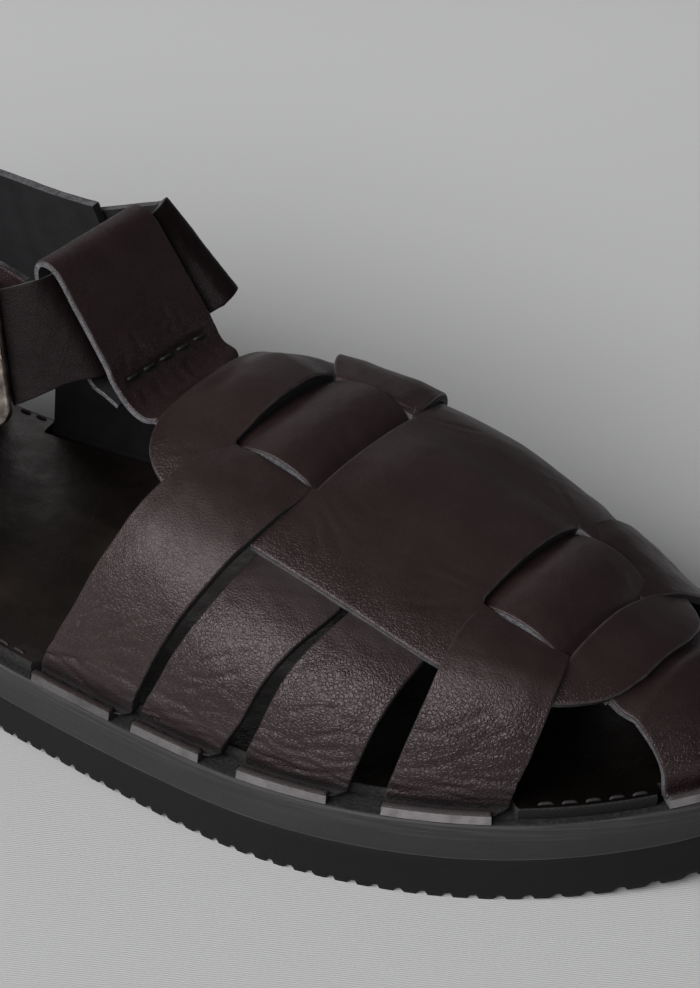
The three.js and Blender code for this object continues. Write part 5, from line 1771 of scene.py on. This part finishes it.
@dataclass
class HeelCup:
    """The heel quarter with its two side openings and its feet.

    strips are the grid's columns in the inner leg, inner opening, heel, outer opening and outer
    leg. split is the share of the height where the search for the openings' top starts.
    """

    wardrobe: Wardrobe
    strips: tuple[int, ...] = (56, 26, 190, 26, 60)
    low_rows: int = 58
    split: float = 0.56

    @staticmethod
    def in_opening(s: Array) -> Array:
        """Whether a column's place lies in the inner or in the outer opening."""
        return ((s > 1) & (s < 2)) | ((s > 3) & (s < 4))

    def grid(self, top_share: Array) -> tuple[Array, Array]:
        """The grid's points, and each column's place from 0 to 5 over the five parts.

        Formula: columns run down the quarter at rows whose knots, at the openings' edges, follow
        lines of constant x; grid rows share out the height over and under the openings' top.
        Both are found in four rounds, because each depends on the other.
        Args: top_share, the grid rows' shares of the part over the openings, from the top down.
        """
        block = np.concatenate([1 + top_share, np.linspace(1, 0, self.low_rows)[1:]])[:, None]
        s = np.concatenate([np.linspace(0, 1, count + 1)[min(k, 1):] + k
                            for k, count in enumerate(self.strips)])[None]
        over = block > 1
        h = np.where(over, self.split + (1 - self.split) * (block - 1), self.split * block) + 0 * s
        low = np.clip(np.floor(s).astype(int), 0, len(self.strips) - 1)[0]
        edges = ((OPENING_INNER_FRONT, Side.INNER), (OPENING_REAR, Side.INNER),
                 (OPENING_REAR, Side.OUTER), (OPENING_FRONT, Side.OUTER))
        first, last = np.zeros(len(block)), np.full(len(block), len(QUARTER_ROWS) - 1.0)
        for _ in range(4):
            found = [QUARTER.row_at(x, h[:, 0], side) for x, side in edges]
            knots = np.stack([last, *found, first])
            row = knots[low].T + (knots[low + 1] - knots[low]).T * (s - low)
            top = QUARTER.height_at(row, OPENING_TOP)
            h = np.where(over, top + (1 - top) * (block - 1), top * np.minimum(block, 1))
        return QUARTER.point(row, h), s

    @staticmethod
    def rim(face: Array) -> Array:
        """Distance in mm from each point to the nearest cut edge."""
        x, y, z = np.moveaxis(face, -1, 0)
        front = np.where(y < 0, OPENING_FRONT, OPENING_INNER_FRONT)
        beside = np.maximum(np.maximum(OPENING_REAR - x, x - front), z - OPENING_TOP)
        beside = np.where(np.abs(y) > 15, np.maximum(beside, 0), 9)
        across = lengths(face, 1)
        ends = np.minimum(across, across[:, -1:] - across)
        return np.minimum(np.minimum(lengths(face, 0), ends), beside)

    def build(self) -> Piece:
        """The whole quarter as one piece of leather."""
        top_share = edged(34, 0.7)[::-1]
        face, s = self.grid(top_share)
        face[-1, :, 2] = FOOT_TOP
        z = face[..., 2]
        face[..., 2] = np.where(z < FOOT_TOP, FOOT_TOP + (z - FOOT_BOTTOM) * 0.001, z)
        back = face - grid_normals(face) * LEATHER
        height = over_foot(face)
        relief = foot_folds(height, lengths(face, 1), 91, 0.7) * ramp(height, 0, 1.2)
        relief += 0.12 * ripple(face, 17, 15) + 0.04 * ripple(face, 4, 16)
        shape = height.shape
        face, back = with_foot(face, back)
        low_row = np.arange(face.shape[0] - 1)[:, None] >= len(top_share) - 1
        kept = ~(self.in_opening((s[:, :-1] + s[:, 1:]) / 2) & low_row)
        hide = Hide(face, back=back, kept=kept, rim=self.rim(face), pebble=0.45,
                    buff=footed(0, FOOT_BUFF, shape), buffed_end=True)
        hide.shaped(footed(relief, 0, shape))
        return hide.build("heel_cup", self.wardrobe.leather)


#: The ankle strap's top and bottom edge from the inner quarter through the loop
ANKLE_TOP = columns("""
    108   30.8  82.4
    114   29.4  85.3
    117.8 26.4  88.4
    119   22.6  88.2
    119   18.9  87.4
    119   11    87.4
    119   2     87.4
    119   -7    87.4
    119   -14   87.4
    117.6 -17.2 87
    113.6 -20   85.6
""").T
ANKLE_BOTTOM = columns("""
    113   33.4  60.4
    126   32.2  65.4
    135.6 27.6  71.6
    136.4 22.8  70.8
    133.8 18.9  68.4
    133.4 11    68.4
    133   2     68.4
    132.5 -7    68.4
    132.1 -14   68.4
    128   -18.4 67.6
    122.4 -24.4 64.6
""").T
#: Its sewn end: the quarter's row, and the height shares of its top and bottom edge
ANKLE_SEWN = ((12.4, 0.86, 0.5), (13.2, 0.89, 0.53), (14.1, 0.94, 0.57))
#: The strap's run through the buckle: x, middle, and its face's height at top and bottom edge
THROUGH_ROWS = columns("""
    21  0   -1.75 -1.75
    17  0   -1.5  -1.5
    11  0   1.4   1.4
    5   0   4.6   4.6
    0   0   5.7   5.7
    -6  0.2 5     4.6
    -14 1.1 3.3   2.9
    -21 2.6 2.2   -0.7
    -28 4.6 1.4   -1.7
    -37 7.6 -0.8  -4
""").T
STRAP_WIDTH = 24.0
#: Rows of the strap's fine curve and of its grid
STRAP_FINE, STRAP_GRID = 2400, 330


@dataclass
class AnkleStrap:
    """The ankle strap with its buckle.

    rear and front are the middles of the buckle's two cross bars, up is its way up, width its
    outer width, bar its bar's thickness and corner the radius of its bent corners. section has
    the bar's half height and half width, and the power that squares it.
    """

    wardrobe: Wardrobe
    rear: Place = (95.0, -30.9, 68.7)
    front: Place = (115.4, -26.2, 74.2)
    up: Place = (-0.42, 0.17, 0.9)
    width: float = 31.4
    bar: float = 3.0
    corner: float = 3.4
    section: Place = (1.28, 1.48, 0.72)

    def __post_init__(self) -> None:
        """Works out the buckle's own axes."""
        rear, front = np.array(self.rear), np.array(self.front)
        x = unit(front - rear)
        z = unit(np.cross(x, np.array(self.up)))
        self.axes = np.stack([x, np.cross(z, x), z])
        self.span = float(np.linalg.norm(front - rear))

    def in_shoe(self, points: Array) -> Array:
        """Points of the buckle's frame (along, up, out) in the shoe's."""
        return np.array(self.rear) + points @ self.axes

    def surface(self) -> Array:
        """The strap's face, from its sewn end to its tip.

        Formula: centripetal curves through its stations, one for each share of its width, read
        at even steps of their length and cut off to an elliptic tip.
        """
        share = edged(STRAP_WIDTH, 0.55)
        sewn = [QUARTER.out(np.full_like(share, row), top + (bottom - top) * share,
                            np.full_like(share, LEATHER + GAP + 0.25))
                for row, top, bottom in ANKLE_SEWN]
        free = ANKLE_TOP[:, None] + (ANKLE_BOTTOM - ANKLE_TOP)[:, None] * share[None, :, None]
        run = [self.in_shoe(np.column_stack([
            np.full_like(share, x), middle + STRAP_WIDTH * (0.5 - share),
            top + (bottom - top) * share])) for x, middle, top, bottom in THROUGH_ROWS]
        stations = np.concatenate([np.stack(sewn), free, np.stack(run)])
        last = len(stations) - 1
        fine = through(stations, np.linspace(0, last - 0.02, STRAP_FINE))
        length = lengths(fine[:, len(share) // 2], 0)
        across = 2 * share - 1
        cut = 8.5 * (1 - np.sqrt(1 - 0.96 * across**2)) + 3.0 + 2.0 * across
        to = np.linspace(0, 1, STRAP_GRID)[:, None] * (length[-1] - cut)[None]
        return between(fine, np.interp(to, length, np.arange(float(STRAP_FINE))))

    def strap(self) -> Piece:
        """The strap itself."""
        face = self.surface()
        relief = 0.07 * ripple(face, 11, 17) + 0.03 * ripple(face, 3.5, 18)
        looks = [self.wardrobe.strap, *self.wardrobe.leather[1:]]
        return Hide(face, pebble=0.3).shaped(relief).build("ankle_band", looks)

    def frame(self) -> Piece:
        """The buckle's frame: a soft-cornered bar bent round a rectangle.

        Formula: a superellipse section carried along straight runs and quarter circles.
        """
        x_half, y_half, radius = self.span / 2, (self.width - self.bar) / 2, self.corner
        turn = np.linspace(0, math.pi / 2, 14)
        path, normal = [], []
        for k, (sx, sy) in enumerate(((1, 1), (-1, 1), (-1, -1), (1, -1))):
            angle = turn + k * math.pi / 2
            ray = np.column_stack([np.cos(angle), np.sin(angle)])
            path.append(np.array([sx * (x_half - radius), sy * (y_half - radius)]) + radius * ray)
            normal.append(ray)
        path, normal = np.concatenate(path), np.concatenate(normal)
        theta = np.linspace(0, 2 * math.pi, 24, endpoint=False)
        out, side = (half * np.sign(v) * np.abs(v) ** self.section[2]
                     for half, v in zip(self.section, (np.sin(theta), np.cos(theta))))
        plan = path[:, None] + normal[:, None] * side[None, :, None]
        out = np.broadcast_to(out[None, :, None], plan.shape[:2] + (1,))
        points = np.concatenate([plan, out], -1)
        points[..., 0] += self.span / 2
        number = np.arange(points[..., 0].size).reshape(points.shape[:2])
        nxt = np.roll(number, -1, 0)
        faces = np.stack([number, nxt, np.roll(nxt, -1, 1), np.roll(number, -1, 1)], -1)
        faces = faces.reshape(-1, 4).tolist()
        return new_object("buckle_ring", self.in_shoe(points.reshape(-1, 3)), faces,
                          [0] * len(faces), [self.wardrobe.metal])


# Rim seam

#: The insole stays set back over the gap between two feet that is shorter than this, in mm
SHORT_GAP = 13.0


@dataclass
class RimSeam:
    """The seam round the sole, and where the insole is set back behind the straps' feet.

    quarter_lean is how far the heel quarter leans in over its foot. The seam lies open_inset
    from the sole's edge on the open insole, and is drawn out and down over a foot.
    """

    wardrobe: Wardrobe
    quarter_lean: float = 1.9
    open_inset: float = 3.9
    drawn_out: float = 1.2
    drawn_down: float = 1.15

    def feet(self) -> list[Place]:
        """Each foot's two ends as outline point numbers, and how far its wall leans in."""
        edge = OUTLINE.inset(WALL_INSET)
        side = np.where(OUTLINE.edge[:, 1] < HEEL_CENTRE[1], -1, 1)
        far = 1000

        def place(x: float, which: float) -> float:
            """The outline's point nearest to x on a side."""
            return float(np.argmin(np.abs(edge[:, 0] - x) + np.where(side == which, 0, far)))

        spans = []
        for strap in STRAPS:
            for which in Side:
                ends, sign = strap.foot_span(which)
                spans.append((*sorted(place(x, sign) for x in ends), 0.0))
        toe = [float(np.argmin(np.abs(edge[:, 1] - y) + np.where(edge[:, 0] > 240, 0, far)))
               for y in (TOE_Y - CENTRE_HALF, TOE_Y + CENTRE_HALF)]
        spans.append((*toe, 0.0))
        for front, end, sign in ((OPENING_FRONT, QUARTER_ROWS[0, 1], -1),
                                 (OPENING_INNER_FRONT, QUARTER_ROWS[-1, 1], 1)):
            spans.append((*sorted((place(front, sign), place(end, sign))), self.quarter_lean))
        spans.append((place(OPENING_REAR, 1), place(OPENING_REAR, -1) + OUTLINE.count,
                      self.quarter_lean))
        return sorted(spans)

    @staticmethod
    def joined(spans: list[Place]) -> list[Place]:
        """The spans, with those closer together than SHORT_GAP made one."""
        reach = SHORT_GAP * OUTLINE.count / OUTLINE.around
        out = [spans[0]]
        for start, end, lean in spans[1:]:
            if start - out[-1][1] < reach and lean == out[-1][2]:
                out[-1] = (out[-1][0], end, lean)
            else:
                out.append((start, end, lean))
        return out

    def setback(self) -> Array:
        """How far the insole's rim is set in at each outline point."""
        index = np.arange(OUTLINE.count)
        inset = np.full(OUTLINE.count, FOOTBED_OPEN_INSET)
        for start, end, lean in self.joined(self.feet()):
            for lap in (-OUTLINE.count, 0, OUTLINE.count):
                inside = ramp(index + lap, start - 4, start - 1) * (
                    1 - ramp(index + lap, end + 1, end + 4))
                inset = np.maximum(inset, FOOTBED_OPEN_INSET + inside * (
                    FOOTBED_INSET + lean - FOOTBED_OPEN_INSET))
        return inset

    def covered(self) -> Array:
        """1 where a foot lies on the rim, 0 on the open insole."""
        return ramp(self.setback(), FOOTBED_OPEN_INSET + 0.5, FOOTBED_INSET - 0.3)

    def seam(self) -> Piece:
        """Stitches all round: down in the feet's channels, up on the open insole's rim."""
        covered = self.covered()
        plan = OUTLINE.inset(self.open_inset - self.drawn_out * covered)
        height = FOOT_TOP + spring(plan[:, 0]) + 0.05 - self.drawn_down * covered
        index = np.arange(OUTLINE.count)
        under = np.zeros(OUTLINE.count, bool)
        for start, end, _ in self.feet():
            for lap in (0, OUTLINE.count):
                under |= (index + lap > start) & (index + lap < end)
        sewn = (covered < 0.02) | under
        path = np.column_stack([plan, height])
        path = np.concatenate([path, path[:1]])
        up = np.tile([0.0, 0.0, 1.0], (len(path), 1))
        return stitches("rim_seam", path, up, pitch=4.6, share=0.74, radius=0.34,
                        material=self.wardrobe.thread, sink=0.5,
                        open_at=np.append(sewn, sewn[0]))


# Studio


@dataclass
class Studio:
    """Floor, soft lights and the camera."""

    camera_at: Place = (0.42384, -0.52120, 0.44800)
    target: Place = (0.02290, 0.03064, 0.03000)
    lens: float = 137.0
    floor_half: float = 6.0

    def floor(self) -> None:
        """A large pale cloth floor at the ground."""
        mesh = bpy.data.meshes.new("floor")
        s = self.floor_half
        mesh.from_pydata([(-s, -s, 0), (s, -s, 0), (s, s, 0), (-s, s, 0)], [], [(0, 1, 2, 3)])
        mesh.materials.append(FloorCloth("floor_cloth").make())
        floor = bpy.data.objects.new("floor", mesh)
        bpy.context.scene.collection.objects.link(floor)

    @staticmethod
    def light(name: str, at: Place, size: tuple[float, float],
              power: float, aim: Place = (0.03, 0.0, 0.04)) -> None:
        """A rectangular soft light aimed at the shoe: size is its width and height."""
        data = bpy.data.lights.new(name, "AREA")
        data.shape = "RECTANGLE"
        data.energy, data.size, data.size_y = power, *size
        lamp = bpy.data.objects.new(name, data)
        lamp.location = at
        lamp.rotation_euler = (Vector(aim) - Vector(at)).to_track_quat("-Z", "Y").to_euler()
        bpy.context.scene.collection.objects.link(lamp)

    def lights(self) -> None:
        """A long soft box in front of the outer side, a dim glow behind, and dim air."""
        self.light("key", (-0.4, -2.82, 2.1), (5.2, 1.8), 172.0)
        self.light("backdrop", (-1.48, 1.64, 1.12), (1.7, 0.8), 3.0)
        world = bpy.data.worlds.new("studio_air")
        world.use_nodes = True
        background = world.node_tree.nodes["Background"]
        background.inputs["Color"].default_value = (0.9, 0.92, 0.95, 1)
        background.inputs["Strength"].default_value = 0.07
        bpy.context.scene.world = world

    def camera(self) -> None:
        """The camera at the photograph's angle."""
        data = bpy.data.cameras.new("camera")
        data.lens, data.sensor_width, data.clip_end = self.lens, 36.0, 50.0
        camera = bpy.data.objects.new("camera", data)
        camera.location = self.camera_at
        way = Vector(self.target) - Vector(self.camera_at)
        camera.rotation_euler = way.to_track_quat("-Z", "Y").to_euler()
        bpy.context.scene.collection.objects.link(camera)
        bpy.context.scene.camera = camera
        bpy.context.scene.view_settings.view_transform = "Standard"

    def build(self) -> None:
        """Everything that isn't the shoe."""
        self.floor()
        self.lights()
        self.camera()


def dress_node(node: Piece, material: Finish) -> None:
    """Gives a CAD node that stays its finish."""
    node.data.materials.clear()
    node.data.materials.append(material)


def main() -> None:
    """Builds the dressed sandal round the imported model."""
    logging.basicConfig(level=logging.INFO, format="%(name)s: %(message)s")
    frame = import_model()
    Studio().build()
    wardrobe = Wardrobe()
    rim = RimSeam(wardrobe)
    sole = Sole(wardrobe)
    settle(sole.outsole(), "outsole_rubber", "outsole")
    settle(sole.midsole(), "midsole_rubber", "midsole")
    settle(sole.footbed(rim.setback()), "footbed_leather", "footbed")
    settle(rim.seam(), "upper_leather")
    upper = Upper(wardrobe)
    for piece in (*upper.side_straps(), upper.saddle(), upper.centre(), upper.toe()):
        settle(piece, "upper_leather", "upper")
    loop, loop_seam = upper.loop()
    settle(loop, "upper_leather", "upper")
    settle(loop_seam, "upper_leather")
    settle(HeelCup(wardrobe).build(), "upper_leather", "heel_quarter")
    ankle = AnkleStrap(wardrobe)
    settle(ankle.strap(), "upper_leather", "ankle_strap")
    settle(ankle.frame(), "buckle_metal", "buckle_frame")
    dress_node(frame["nodes"]["buckle_prong"], wardrobe.metal)
    dress_node(frame["nodes"]["buckle_chape"], wardrobe.strap)
    dress_node(frame["nodes"]["strap_keeper"], wardrobe.strap)


if __name__ == "__main__":
    main()
